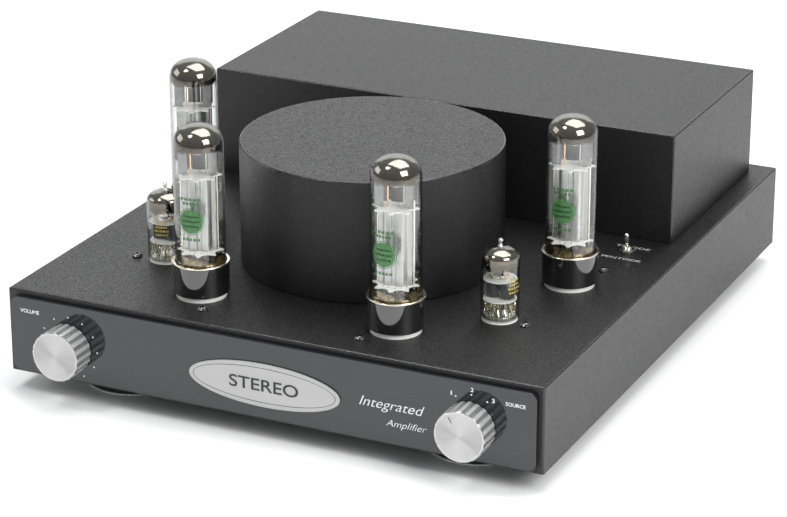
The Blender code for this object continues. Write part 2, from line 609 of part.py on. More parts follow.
def make_front_controls():
    """Both controls are built along local +Z, which looks forwards, from the front panel's face."""
    length = KNOB_REAR - KNOB_FRONT
    bore = SHAFT_R + SHAFT_CLEAR
    wall_inside = FRONT_Y + WALL + GAP
    knob = extruded(fluted_outline(), length, length / 2)
    knob = cut(knob, rod(bore, (0, 0, -PAST), (0, 0, KNOB_BORE), 12))
    knob_data = as_mesh(knob, "knob", KNOB_METAL)

    rear = KNOB_REAR - wall_inside
    shaft_low = rear - SHAFT_TAIL
    shaft_data = as_mesh(rod(SHAFT_R, (0, 0, shaft_low), (0, 0, KNOB_BORE - GAP), 12), "shaft", ZINC)
    bushing_end = KNOB_REAR - (FRONT_Y - GAP - PANEL_T) - GAP

    for name, x, (radius, depth) in (("volume", -KNOB_X, VOLUME_BODY), ("source", KNOB_X, SOURCE_BODY)):
        control = "volume_potentiometer" if name == "volume" else "source_switch"
        body = turned([(BUSHING_R, bushing_end), (BUSHING_R, rear), (radius, rear),
                       (radius, rear - depth), (0, rear - depth), (0, shaft_low - GAP),
                       (bore, shaft_low - GAP), (bore, bushing_end)], 16, ring=True)
        axis = pivot(f"{name}_axis", (x, KNOB_REAR, MID_Z), FRONT_TURN)
        piece(f"{name}_knob", knob_data, axis)
        piece(f"{name}_shaft", shaft_data, axis)
        piece(control, as_mesh(body, control, ZINC), location=(x, KNOB_REAR, MID_Z), rotation=FRONT_TURN)


def make_toggle():
    x, y = TOGGLE_XY
    place = (x, y, DECK_Z)
    under = -WALL - GAP
    body = block(TOGGLE_BODY, (0, 0, under - TOGGLE_BODY[2] / 2))
    bush = rod(TOGGLE_BUSH_R, (0, 0, under - WALL), (0, 0, TOGGLE_BUSH_TOP), 12)
    bore = rod(TOGGLE_BORE_R, (0, 0, TOGGLE_PIVOT - TOGGLE_BORE_DEPTH), (0, 0, TOGGLE_BUSH_TOP + PAST), 12)
    data = as_mesh(cut(joined(body, bush), bore), "mode_toggle_body", CHROME)
    piece("mode_toggle_body", data, location=place)

    nut = rod(TOGGLE_NUT_R, (0, 0, GAP), (0, 0, TOGGLE_NUT_TOP), 6)
    nut = cut(nut, rod(TOGGLE_BUSH_R + GAP, (0, 0, -PAST), (0, 0, TOGGLE_NUT_TOP + PAST), 12))
    piece("mode_toggle_nut", as_mesh(nut, "mode_toggle_nut", CHROME), location=place)

    tip, ball = LEVER_TIP_R, LEVER_BALL_R
    lever = turned([*arc((0, TOGGLE_REACH - tip), (tip, tip), 90, 0, 2), (ball / 2, ball),
                    *arc((0, 0), (ball, ball), 45, -90, 3)], 12)
    axis = pivot("mode_toggle_axis", (x, y, DECK_Z + TOGGLE_PIVOT), (TOGGLE_LEAN, 0, 0))
    piece("mode_toggle_lever", as_mesh(lever, "mode_toggle_lever", CHROME), axis)


# ---------------------------------------------------------------- inside and back

def make_main_board():
    board = block(BOARD_SIZE, (0, BOARD_Y, BOARD_TOP - BOARD_SIZE[2] / 2))
    low = BOARD_TOP - ROOTED
    parts = []
    for (radius, height), places, sides in ((BIG_CAN, BIG_CANS, 14), (SMALL_CAN, SMALL_CANS, 10)):
        parts += [rod(radius, (x, y, low), (x, y, BOARD_TOP + height), sides) for x, y in places]
    width, depth, height = RELAY_SIZE
    parts += [block((width, depth, height + ROOTED), (x, y, low + (height + ROOTED) / 2)) for x, y in RELAYS]
    data = as_mesh(joined(board, gathered(parts)), "main_board", BOARD_GREEN)
    piece("main_board", data)


def make_mains_inlet():
    """The usual three-blade inlet, built with local +Z looking backwards from the rear wall."""
    thickness = INLET_FLANGE[2]
    floor = GAP + thickness - INLET_DEPTH
    recess = block((*INLET_RECESS, 2 * INLET_DEPTH), (0, 0, floor + INLET_DEPTH), PLATE_CORNER)
    shell = cut(joined(flange(INLET_FLANGE), behind(INLET_BODY, thickness)), recess)
    blade_middle = floor - 2 * ROOTED + INLET_BLADE[2] / 2
    blades = [block(INLET_BLADE, (x, y, blade_middle)) for x, y in INLET_BLADES]
    data = as_mesh(joined(shell, gathered(blades)), "mains_inlet", BLACK_PLASTIC)
    piece("mains_inlet", data, location=(INLET_X, REAR_Y, MID_Z), rotation=REAR_TURN)


def make_power_switch():
    thickness = SWITCH_FLANGE[2]
    floor = GAP + thickness - SWITCH_DEPTH
    well = block((*SWITCH_WELL, 2 * SWITCH_DEPTH), (0, 0, floor + SWITCH_DEPTH))
    frame = joined(flange(SWITCH_FLANGE, PLATE_CORNER / 2), behind(SWITCH_BODY, thickness))
    data = as_mesh(cut(frame, well), "power_switch_frame", BLACK_PLASTIC)
    piece("power_switch_frame", data, location=(SWITCH_X, REAR_Y, MID_Z), rotation=REAR_TURN)

    half, high = ROCKER_HALF, ROCKER_HIGH
    belly, shallow, deep = ROCKER_BELLY
    outline = [(-half, high), (-half, 0), (-belly, shallow), (0, deep), (belly, shallow), (half, 0),
               (half, high), (0, ROCKER_VALLEY)]
    rocker = extruded(outline, ROCKER_W)
    lay_over = Matrix.Rotation(math.pi / 2, 4, "Z") @ Matrix.Rotation(math.pi / 2, 4, "X")
    bmesh.ops.transform(rocker, matrix=lay_over, verts=rocker.verts)
    axis = pivot("power_rocker_axis", (SWITCH_X, REAR_Y + thickness / 2, MID_Z),
                 (math.pi / 2 + ROCKER_LEAN, 0, math.pi))
    piece("power_rocker", as_mesh(rocker, "power_rocker", BLACK_PLASTIC), axis)


def make_speaker_terminals():
    """Each channel's plate with its three posts is one moulding. The insulated caps screw onto the posts."""
    thickness, collar_top, post_end = TERMINAL_PLATE[2], CAP_REAR - GAP, END_REACH - CAP_EDGE
    cap_length = END_REACH - CAP_REAR
    offsets = [(i - 1) * POST_PITCH for i in range(len(POSTS))]
    cap_profile = [(CAP_R - CAP_EDGE, cap_length), (CAP_R, cap_length - CAP_EDGE), (CAP_R, 2 * CAP_EDGE),
                   (CAP_R - CAP_EDGE, 0), (CAP_BORE_R, 0), (CAP_BORE_R, cap_length)]
    cap = turned(cap_profile, 14, ring=True)
    red = as_mesh(cap.copy(), "cap_red", RED_PLASTIC)
    black = as_mesh(cap, "cap_black", BLACK_PLASTIC)
    for side, centre in TERMINALS_X.items():
        posts = []
        for x in offsets:
            post = turned([(0, post_end), (POST_R, post_end), (POST_R, collar_top),
                           (POST_COLLAR_R, collar_top), (POST_COLLAR_R, thickness / 2),
                           (POST_ROOT_R, thickness / 2), (POST_ROOT_R, -POST_ROOT), (0, -POST_ROOT)], 12)
            bmesh.ops.translate(post, verts=post.verts, vec=(x, 0, 0))
            posts.append(post)
        data = as_mesh(joined(flange(TERMINAL_PLATE), gathered(posts)), "speaker_terminals", BLACK_PLASTIC)
        piece(f"speaker_terminals_{side}", data, location=(centre, REAR_Y, MID_Z), rotation=REAR_TURN)
        for post, x in zip(POSTS, offsets):
            axis = pivot(f"terminal_{side}_{post}_axis", (centre - x, REAR_Y + CAP_REAR, MID_Z), REAR_TURN)
            piece(f"terminal_cap_{side}_{post}", black if post == "common" else red, axis)


def make_input_jacks():
    middle = JACK_PLATE[2] / 2
    places = [(x, y) for x in JACK_COLUMNS for y in JACK_ROWS]
    barrels = [rod(JACK_R, (x, y, middle), (x, y, JACK_END), 12) for x, y in places]
    bores = [rod(JACK_BORE_R, (x, y, JACK_FLOOR), (x, y, JACK_END + PAST), 8) for x, y in places]
    body = joined(flange(JACK_PLATE), behind(JACK_BACKING, JACK_PLATE[2]), gathered(barrels))
    shape = cut(body, gathered(bores))
    data = as_mesh(shape, "input_jacks", GOLD)
    piece("input_jacks", data, location=(JACKS_X, REAR_Y, MID_Z), rotation=REAR_TURN)


make_case()
make_bottom_plate()
make_feet()
make_front_panel()
make_covers()
make_transformers()
make_tubes()
make_front_controls()
make_toggle()
make_main_board()
make_mains_inlet()
make_power_switch()
make_speaker_terminals()
make_input_jacks()
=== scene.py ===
"""The looks of the tube amplifier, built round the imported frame.

World frame: origin on the floor under the middle of the object, metres, +Z up, the front faces -Y."""

import math

import bmesh
import bpy
from mathutils import Matrix, Vector


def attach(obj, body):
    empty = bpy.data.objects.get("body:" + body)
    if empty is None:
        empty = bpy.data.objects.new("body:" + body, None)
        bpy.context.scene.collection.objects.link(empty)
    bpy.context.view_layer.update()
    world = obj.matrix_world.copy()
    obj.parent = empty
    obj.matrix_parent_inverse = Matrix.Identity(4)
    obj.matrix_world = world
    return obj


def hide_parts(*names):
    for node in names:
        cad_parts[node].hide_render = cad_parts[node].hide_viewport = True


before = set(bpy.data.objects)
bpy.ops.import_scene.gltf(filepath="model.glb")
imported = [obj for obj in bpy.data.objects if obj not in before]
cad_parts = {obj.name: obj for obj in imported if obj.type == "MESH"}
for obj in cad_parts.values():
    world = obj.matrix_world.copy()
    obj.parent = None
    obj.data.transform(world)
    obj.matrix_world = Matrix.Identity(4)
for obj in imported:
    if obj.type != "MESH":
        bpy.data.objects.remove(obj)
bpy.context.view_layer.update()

# Sizes shared with the CAD part, in metres
CASE_W, CASE_D, CASE_H, FOOT_H, WALL, GAP = 0.34, 0.3915, 0.0518, 0.012, 0.002, 0.0003
DECK, MID = FOOT_H + CASE_H, FOOT_H + 0.0223
FRONT_Y, REAR_Y = -CASE_D / 2, CASE_D / 2
PANEL_W, PANEL_T, PANEL_LOW, PANEL_HIGH = 0.333, 0.003, FOOT_H + 0.002, FOOT_H + 0.0486
PANEL_Y = FRONT_Y - GAP - PANEL_T
CAN_Y, CAN_R, CAN_H = -0.0571, 0.0792, 0.0743
COVER_W, COVER_H, COVER_Y, SHEET = 0.3128, 0.0694, (0.0355, 0.181), 0.0015
POWER_TUBES = {"front_left": (-0.0625, -0.1565), "front_right": (0.0625, -0.1565),
               "rear_left": (-0.1247, -0.0502), "rear_right": (0.1247, -0.0502)}
SMALL_TUBES = {"left": (-0.1086, -0.116), "right": (0.1086, -0.116)}
CORES = {"mains": (0, CAN_Y), "output_left": (-0.085, 0.108), "output_right": (0.085, 0.108)}
KNOB_X, KNOB_R, KNOB_L, FLUTES = 0.1278, 0.0152, 0.0157, 20
KNOB_Y = PANEL_Y - 0.0005
TOGGLE_XY = (0.137, 0.012)
FOOT_X, FOOT_Y = 0.112, 0.151
INLET_X, SWITCH_X, JACKS_X, TERMINALS_X = -0.128, -0.086, 0.112, {"left": -0.027, "right": 0.043}
POST_STEP = 0.019
BIG_PINS, BIG_BULB, SMALL_PINS, SMALL_BULB = 0.00873, 0.01475, 0.00595, 0.0112
INK = 0.00002

TO_FRONT = Matrix.Rotation(math.pi / 2, 4, "X")
TO_REAR = Matrix.Rotation(math.pi, 4, "Z") @ TO_FRONT


# ---------------------------------------------------------------- materials

class Net:
    """Short ways to build a material's node tree."""

    def __init__(self, mat):
        self.tree = mat.node_tree
        self.shader = self.tree.nodes["Principled BSDF"]
        self.place = self.node("TexCoord").outputs["Object"]

    def node(self, kind, inputs=None, **settings):
        made = self.tree.nodes.new("ShaderNode" + kind)
        for key, value in settings.items():
            setattr(made, key, value)
        for key, value in (inputs or {}).items():
            if isinstance(value, bpy.types.NodeSocket):
                self.tree.links.new(value, made.inputs[key])
            else:
                made.inputs[key].default_value = value
        return made

    def stretched(self, scale):
        return self.node("Mapping", {"Vector": self.place, "Scale": scale}).outputs[0]

    def noise(self, scale, detail=2.0, rough=0.5, vector=None):
        inputs = {"Vector": vector or self.place, "Scale": scale, "Detail": detail, "Roughness": rough}
        return self.node("TexNoise", inputs).outputs["Fac"]

    def cells(self, scale, vector=None):
        inputs = {"Vector": vector or self.place, "Scale": scale, "Smoothness": 0.6}
        return self.node("TexVoronoi", inputs, feature="SMOOTH_F1").outputs["Distance"]

    def remap(self, value, low, high, start=0.3, end=0.7):
        inputs = {"Value": value, "From Min": start, "From Max": end, "To Min": low, "To Max": high}
        return self.node("MapRange", inputs).outputs[0]

    def math(self, operation, a, b=0.0, c=0.0):
        return self.node("Math", {0: a, 1: b, 2: c}, operation=operation).outputs[0]

    def blend(self, factor, a, b):
        inputs = {"Factor": factor, "A": a if isinstance(a, bpy.types.NodeSocket) else (*a, 1.0),
                  "B": b if isinstance(b, bpy.types.NodeSocket) else (*b, 1.0)}
        node = self.tree.nodes.new("ShaderNodeMix")
        node.data_type = "RGBA"
        for index, key in ((0, "Factor"), (6, "A"), (7, "B")):
            value = inputs[key]
            if isinstance(value, bpy.types.NodeSocket):
                self.tree.links.new(value, node.inputs[index])
            else:
                node.inputs[index].default_value = value
        return node.outputs[2]

    def bump(self, height, strength, distance, normal=None):
        inputs = {"Height": height, "Strength": strength, "Distance": distance}
        if normal:
            inputs["Normal"] = normal
        return self.node("Bump", inputs).outputs[0]

    def drive(self, **sockets):
        for key, value in sockets.items():
            self.tree.links.new(value, self.shader.inputs[key.replace("_", " ")])


def material(name, colour, rough, metal=0.0, **sockets):
    """A principled material of even colour and roughness."""
    made = bpy.data.materials.new(name)
    made.use_nodes = True
    shader = made.node_tree.nodes["Principled BSDF"]
    settings = {"Base Color": (*colour, 1.0), "Roughness": rough, "Metallic": metal}
    settings.update({key.replace("_", " "): value for key, value in sockets.items()})
    for key, value in settings.items():
        shader.inputs[key].default_value = value
    made.diffuse_color = (*colour, 1.0)
    return made


def varied(name, colour, rough, metal=0.0, tone=0.15, rough_range=0.06, scale=90.0, grain=0.0,
           grain_scale=1500.0, stretch=None, **sockets):
    """A material whose colour and roughness wander a little, with an optional fine grain."""
    made = material(name, colour, rough, metal, **sockets)
    net = Net(made)
    vector = net.stretched(stretch) if stretch else None
    wander = net.noise(scale, 3.0, 0.6, vector)
    light = tuple(min(1.0, part * (1 + tone)) for part in colour)
    dark = tuple(part * (1 - tone) for part in colour)
    net.drive(Base_Color=net.blend(net.remap(wander, 0.0, 1.0), dark, light),
              Roughness=net.remap(net.noise(scale * 2.3, 3.0, 0.6, vector), rough - rough_range,
                                  rough + rough_range))
    if grain:
        net.drive(Normal=net.bump(net.noise(grain_scale, 3.0, 0.6, vector), 0.5, grain))
    return made


def powder_coat(name, colour, rough):
    """Textured powder coat: a fine leathery grain with a slight orange peel under it."""
    made = material(name, colour, rough, Specular_IOR_Level=0.5)
    net = Net(made)
    grain = net.math("ADD", net.noise(1500, 3.0, 0.65), net.math("MULTIPLY", net.cells(1150), 0.9))
    peel = net.bump(net.noise(420, 2.0, 0.5), 0.25, 0.0001)
    worn = net.remap(net.noise(18, 4.0, 0.6), 0.0, 1.0)
    normal = net.node("NewGeometry").outputs["Normal"]
    upward = net.math("MAXIMUM", net.node("SeparateXYZ", {0: normal}).outputs["Z"], 0.0)
    depth = net.math("MULTIPLY_ADD", upward, 6.0, 2.2)
    speck = net.math("SUBTRACT", net.noise(1500, 3.0, 0.7), 0.5)
    glint = net.math("MAXIMUM", net.math("MULTIPLY_ADD", net.math("MULTIPLY", speck, depth), 0.5, 0.5), 0.01)
    net.drive(Specular_IOR_Level=glint, Normal=net.bump(grain, 1.0, 0.00024, peel),
              Base_Color=net.blend(worn, tuple(c * 0.85 for c in colour), tuple(c * 1.2 for c in colour)),
              Roughness=net.remap(net.noise(420, 3.0, 0.7), rough - 0.06, rough + 0.06))
    return made


def clear_glass(name, tint, shine=0.045):
    """Thin blown glass: it mirrors more towards its edges and lets the rest straight through."""
    made = bpy.data.materials.new(name)
    made.use_nodes = True
    net = Net(made)
    tree = net.tree
    ripple = net.bump(net.noise(70, 2.0, 0.5, net.stretched((1.0, 1.0, 0.25))), 0.1, 0.0006)
    mirror = net.node("BsdfGlossy", {"Color": (1, 1, 1, 1), "Roughness": 0.015, "Normal": ripple})
    facing = net.node("LayerWeight", {"Blend": 0.5, "Normal": ripple}).outputs["Facing"]
    wall = net.blend(net.math("POWER", facing, 3.0), tint, tuple(part * 0.4 for part in tint))
    through = net.node("BsdfTransparent", {"Color": wall})
    edge = net.math("MULTIPLY_ADD", net.math("POWER", facing, 4.0), 0.55, shine)
    mix = net.node("MixShader", {0: edge, 1: through.outputs[0], 2: mirror.outputs[0]})
    tree.links.new(mix.outputs[0], tree.nodes["Material Output"].inputs["Surface"])
    tree.nodes.remove(net.shader)
    made.diffuse_color = (*tint, 0.3)
    return made


def see_through(net, cover):
    """Lets what lies behind show where cover, from 0 to 1, is low."""
    clear = net.node("BsdfTransparent")
    mix = net.node("MixShader", {0: cover, 1: clear.outputs[0], 2: net.shader.outputs[0]})
    net.tree.links.new(mix.outputs[0], net.tree.nodes["Material Output"].inputs["Surface"])


def getter_mirror(name, low, high):
    """The mirror inside a bulb's top: bright where it is thick, brown and then clear at its edge,
    which lies between the local heights low and high."""
    made = bpy.data.materials.new(name)
    made.use_nodes = True
    net = Net(made)
    height = net.node("SeparateXYZ", {0: net.place}).outputs[2]
    ragged = net.math("ADD", height, net.remap(net.noise(120, 3.0, 0.6), -0.0012, 0.0012))
    cover = net.remap(ragged, 0.0, 1.0, low, high)
    thick = net.remap(ragged, 0.0, 1.0, high + 0.001, high + 0.01)
    patchy = net.math("MULTIPLY", thick, net.remap(net.noise(160, 3.0, 0.6), 0.75, 1.0))
    tone = net.blend(patchy, (0.06, 0.044, 0.024), (0.27, 0.245, 0.19))
    net.drive(Base_Color=tone, Normal=net.bump(net.noise(170, 3.0, 0.5), 0.35, 0.0005))
    net.shader.inputs["Metallic"].default_value = 1.0
    net.shader.inputs["Roughness"].default_value = 0.1
    see_through(net, cover)
    return made


def painted_wire_reflection(name):
    """Brown-gold patches on the inside of the glass: a painted reflection of the gold lead wires in the
    curved glass.
    """
    made = bpy.data.materials.new(name)
    made.use_nodes = True
    net = Net(made)
    patches = net.remap(net.noise(190, 4.0, 0.7), 0.0, 0.85, 0.42, 0.6)
    net.drive(Base_Color=net.blend(net.remap(net.noise(600, 3.0, 0.6), 0.0, 1.0), (0.1, 0.06, 0.02),
                                   (0.55, 0.43, 0.22)))
    net.shader.inputs["Metallic"].default_value = 0.7
    net.shader.inputs["Roughness"].default_value = 0.25
    see_through(net, patches)
    return made


def printed_ink(name, colour, cover):
    """Thin ink on glass that lets some of what is behind it through."""
    made = material(name, colour, 0.5)
    net = Net(made)
    worn = net.remap(net.noise(900, 3.0, 0.6), cover - 0.18, cover + 0.12)
    net.drive(Base_Color=net.blend(net.noise(500, 2.0, 0.5), tuple(c * 0.7 for c in colour),
                                   tuple(c * 1.3 for c in colour)))
    see_through(net, worn)
    return made


def spun_metal(name, colour, rough, grooves=0.0):
    """Metal turned on a lathe about local Z, whose highlights fan out from its middle."""
    made = material(name, colour, rough, 1.0, Anisotropic=0.93)
    net = Net(made)
    around = net.node("Tangent", direction_type="RADIAL", axis="Z").outputs[0]
    x, y, _ = net.node("SeparateXYZ", {0: net.place}).outputs
    radius = net.math("SQRT", net.math("ADD", net.math("MULTIPLY", x, x), net.math("MULTIPLY", y, y)))
    lines = net.node("TexNoise", {"W": net.math("MULTIPLY", radius, 9000.0), "Scale": 1.0, "Detail": 3.0},
                     noise_dimensions="1D").outputs[0]
    net.drive(Tangent=around, Roughness=net.remap(lines, rough - 0.05, rough + 0.05))
    if grooves:
        net.drive(Normal=net.bump(lines, 0.3, grooves))
    return made


def wound_tape(name):
    """Amber tape wound round a ring, each turn lying over the last."""
    made = material(name, (0.6, 0.47, 0.13), 0.35, Coat_Weight=0.4)
    net = Net(made)
    turn = net.node("TexGradient", {"Vector": net.place}, gradient_type="RADIAL").outputs["Fac"]
    tooth = net.math("FRACT", net.math("MULTIPLY", turn, 46.0))
    wires = net.math("FRACT", net.math("MULTIPLY", turn, 420.0))
    net.drive(Base_Color=net.blend(tooth, (0.5, 0.36, 0.08), (0.72, 0.58, 0.18)),
              Normal=net.bump(wires, 0.25, 0.0002, net.bump(tooth, 0.5, 0.0004)))
    return made


POWDER = powder_coat("black_powder_coat", (0.006, 0.006, 0.006), 0.36)
POWDER_EDGE = varied("smooth_coat", (0.007, 0.007, 0.007), 0.27, tone=0.1, rough_range=0.04,
                     Specular_IOR_Level=0.65)
PANEL = varied("gloss_panel", (0.009, 0.011, 0.014), 0.04, tone=0.1, rough_range=0.01, scale=40,
               Coat_Weight=0.62, Coat_Roughness=0.02, Coat_IOR=1.5, Coat_Tint=(0.93, 0.97, 1.0, 1.0))
LETTER = varied("white_print", (0.8, 0.81, 0.82), 0.45, tone=0.04)
DIM_LETTER = varied("deck_print", (0.42, 0.42, 0.42), 0.5, tone=0.1, scale=900)
BADGE = varied("badge_silver", (0.46, 0.46, 0.455), 0.42, 0.5, tone=0.03, grain=0.00004,
               grain_scale=900, stretch=(0.15, 1.0, 1.0))
DARK_FILL = varied("dark_fill", (0.016, 0.017, 0.02), 0.35)
KNOB_FACE = spun_metal("knob_face", (0.5, 0.5, 0.495), 0.38, 0.00002)
# A darker, rougher copy of the knob metal for the flutes' slots: painted shade in the recesses.
KNOB_SLOT_SHADE = varied("knob_slot_painted_shade", (0.34, 0.34, 0.34), 0.3, 0.65, tone=0.05)
KNOB_SIDE = varied("knob_side", (0.64, 0.64, 0.635), 0.26, 0.55, tone=0.03, rough_range=0.05, scale=300,
                   stretch=(1.0, 1.0, 0.1))
CHROME = varied("chrome", (0.8, 0.8, 0.81), 0.07, 1.0, tone=0.03, rough_range=0.03)
NICKEL = varied("nickel", (0.74, 0.71, 0.64), 0.22, 1.0, tone=0.06)
ZINC = varied("zinc", (0.58, 0.58, 0.57), 0.34, 1.0, tone=0.12, scale=260)
BLACK_STEEL = varied("black_steel", (0.018, 0.018, 0.019), 0.18, 0.2, grain=0.00002, Coat_Weight=1.0,
                     Coat_Roughness=0.08, Coat_IOR=1.8)
BAKELITE = varied("black_phenolic", (0.006, 0.006, 0.0065), 0.07, tone=0.2, rough_range=0.025, scale=120,
                  grain=0.00003, grain_scale=140, Coat_Weight=1.0, Coat_Roughness=0.03, Coat_IOR=1.75)
RIM_METAL = varied("champagne_rim", (0.83, 0.76, 0.62), 0.16, 1.0, tone=0.05)
CERAMIC = varied("white_ceramic", (0.93, 0.92, 0.89), 0.28, tone=0.03, grain=0.00003, grain_scale=600,
                 Coat_Weight=0.5, Coat_Roughness=0.1)
GLASS = clear_glass("tube_glass", (0.985, 0.99, 0.985))
GETTER = getter_mirror("power_getter", 0.0898, 0.0925)
SMALL_GETTER = getter_mirror("small_getter", 0.0312, 0.0338)
# Painted reflection of the lead wires, low in the power tubes' glass.
WIRE_REFLECTION = painted_wire_reflection("painted_wire_reflection")
ANODE = varied("anode_metal", (0.44, 0.44, 0.435), 0.3, 0.92, tone=0.08, scale=240, stretch=(1.0, 1.0, 0.06))
FLAG = varied("heat_flag", (0.3, 0.3, 0.3), 0.42, 0.8, tone=0.12, scale=300)
MICA = varied("mica", (0.88, 0.87, 0.83), 0.38, tone=0.04, scale=500, grain=0.00006, grain_scale=700)
COPPER = varied("copper_rod", (0.93, 0.62, 0.36), 0.22, 1.0, tone=0.06)
WIRE = varied("lead_wire", (0.72, 0.6, 0.4), 0.25, 1.0, tone=0.12, scale=500)
STEM_GLASS = clear_glass("stem_glass", (0.93, 0.94, 0.9), 0.16)
SEAL_GLASS = clear_glass("seal_glass", (0.9, 0.9, 0.86), 0.42)
DARK_ANODE = varied("dark_anode", (0.105, 0.105, 0.11), 0.36, 0.75, tone=0.12, scale=260,
                    stretch=(1.0, 1.0, 0.08))
GREEN_PRINT = printed_ink("green_print", (0.07, 0.215, 0.068), 0.8)
DARK_GREEN = printed_ink("dark_green_print", (0.022, 0.075, 0.028), 0.8)
GOLD_PRINT = varied("gold_print", (0.62, 0.5, 0.12), 0.35, 0.6, tone=0.2, scale=500)
RUBBER = varied("foot_rubber", (0.018, 0.018, 0.018), 0.6, grain=0.00005)
# Near-white and mostly unmetallic: the foot's chrome ring with its highlight painted in, so it shows bright
# in shadow.
FOOT_RING_HIGHLIGHT = varied("foot_ring_painted_highlight", (0.88, 0.88, 0.87), 0.25, 0.25, tone=0.03)
FOOT_BODY = varied("foot_black", (0.014, 0.014, 0.015), 0.3, grain=0.00003)
PLASTIC = varied("black_plastic", (0.02, 0.02, 0.022), 0.34, grain=0.00004, grain_scale=1100)
SATIN_PLASTIC = varied("satin_plastic", (0.024, 0.024, 0.026), 0.22, grain=0.00002)
RED = varied("red_plastic", (0.52, 0.018, 0.016), 0.22, tone=0.08, grain=0.00002, Coat_Weight=0.3)
WHITE_PLASTIC = varied("white_plastic", (0.78, 0.77, 0.73), 0.35, tone=0.03)
GOLD = varied("gold_plate", (0.9, 0.66, 0.26), 0.2, 1.0, tone=0.06)
TAPE = wound_tape("amber_tape")
BOARD = varied("solder_mask", (0.012, 0.11, 0.045), 0.3, tone=0.12, scale=60, grain=0.00003)
SLEEVE = varied("capacitor_sleeve", (0.02, 0.024, 0.055), 0.25, tone=0.1)
RELAY = varied("relay_case", (0.045, 0.1, 0.24), 0.35, tone=0.08)


# ---------------------------------------------------------------- shapes, each returned as a bmesh

def lathe(profile, sides=64, ring=False):
    """(radius, height) points turned about Z. A ring's profile closes on itself."""
    shape = bmesh.new()
    rings = []
    for radius, height in profile:
        count = 1 if radius < 1e-7 else sides
        rings.append([shape.verts.new((radius * math.cos(math.tau * i / sides),
                                       radius * math.sin(math.tau * i / sides), height))
                      for i in range(count)])
    for a, b in list(zip(rings, rings[1:])) + ([(rings[-1], rings[0])] if ring else []):
        if len(a) == len(b) == 1:
            continue
        for i in range(sides):
            j = (i + 1) % sides
            corners = [a[i % len(a)], b[i % len(b)], b[j % len(b)], a[j % len(a)]]
            shape.faces.new(list(dict.fromkeys(corners)))
    bmesh.ops.recalc_face_normals(shape, faces=shape.faces)
    return shape


def rounded(points, steps=4, closed=False):
    """A path of (x, y) or (x, y, radius) points with its corners rounded."""
    path, count = [], len(points)
    for i, point in enumerate(points):
        radius = point[2] if len(point) > 2 else 0.0
        if not radius or (not closed and i in (0, count - 1)):
            path.append((point[0], point[1]))
            continue
        corner = Vector(point[:2])
        before, after = Vector(points[i - 1][:2]) - corner, Vector(points[(i + 1) % count][:2]) - corner
        half = before.angle(after) / 2
        reach = min(radius / math.tan(half), before.length * 0.49, after.length * 0.49)
        radius = reach * math.tan(half)
        centre = corner + (before.normalized() + after.normalized()).normalized() * radius / math.sin(half)
        start = corner + before.normalized() * reach - centre
        end = corner + after.normalized() * reach - centre
        angle = math.atan2(start.y, start.x)
        sweep = (math.atan2(end.y, end.x) - angle + math.pi) % math.tau - math.pi
        path += [(centre.x + radius * math.cos(angle + sweep * k / steps),
                  centre.y + radius * math.sin(angle + sweep * k / steps)) for k in range(steps + 1)]
    return path


def turned(points, steps, sides):
    """Points with rounded corners turned about Z."""
    return lathe(rounded(points, steps), sides)


def turned_ring(points, steps, sides):
    """A closed outline with rounded corners turned about Z."""
    return lathe(rounded(points, steps, True), sides, ring=True)


def four_ways(quarter):
    """A closed outline that is the same in all four quarters, from the points of its first."""
    half = quarter + [(-x, *rest) for x, *rest in quarter[::-1]]
    return half + [(-x, -y, *rest) for x, y, *rest in half]


def oblong(x_half, y_half, corner):
    """A rectangle's corners, to be rounded."""
    return [(-x_half, -y_half, corner), (x_half, -y_half, corner), (x_half, y_half, corner),
            (-x_half, y_half, corner)]


def box(size, centre=(0, 0, 0), edge=0.0, segments=2, only=None):
    """A block, its chosen edges rounded."""
    shape = bmesh.new()
    bmesh.ops.create_cube(shape, size=1.0, matrix=Matrix.Translation(centre) @ Matrix.Diagonal((*size, 1.0)))
    if edge:
        chosen = [e for e in shape.edges if only is None or only(e)]
        bmesh.ops.bevel(shape, geom=chosen, offset=edge, segments=segments, profile=0.5, affect="EDGES")
    return shape


def prism(outline, low, high, edge=0.0, segments=2):
    """A flat outline of (x, y) points made solid between two heights."""
    shape = bmesh.new()
    under = [shape.verts.new((x, y, low)) for x, y in outline]
    over = [shape.verts.new((x, y, high)) for x, y in outline]
    count = len(outline)
    shape.faces.new(under[::-1])
    shape.faces.new(over)
    for i in range(count):
        j = (i + 1) % count
        shape.faces.new((under[i], under[j], over[j], over[i]))
    bmesh.ops.recalc_face_normals(shape, faces=shape.faces)
    if edge:
        rim = [e for e in shape.edges if abs(e.verts[0].co.z - e.verts[1].co.z) < 1e-7]
        bmesh.ops.bevel(shape, geom=rim, offset=edge, segments=segments, profile=0.5, affect="EDGES")
    return shape


def plate(width, height, corner, low, high, edge=0.0003):
    """A flat plate with rounded corners."""
    return prism(rounded(oblong(width / 2, height / 2, corner), 6, True), low, high, edge)


def circle(radius, count, centre=(0, 0), first=0.0):
    """Points spread round a circle."""
    return [(centre[0] + radius * math.cos(first + math.tau * i / count),
             centre[1] + radius * math.sin(first + math.tau * i / count)) for i in range(count)]


def rod(radius, start, end, sides=24):
    """A straight round bar between two points."""
    start, end = Vector(start), Vector(end)
    along = end - start
    shape = bmesh.new()
    turn = along.to_track_quat("Z", "Y").to_matrix().to_4x4()
    bmesh.ops.create_cone(shape, cap_ends=True, segments=sides, radius1=radius, radius2=radius,
                          depth=along.length, matrix=Matrix.Translation((start + end) / 2) @ turn)
    return shape


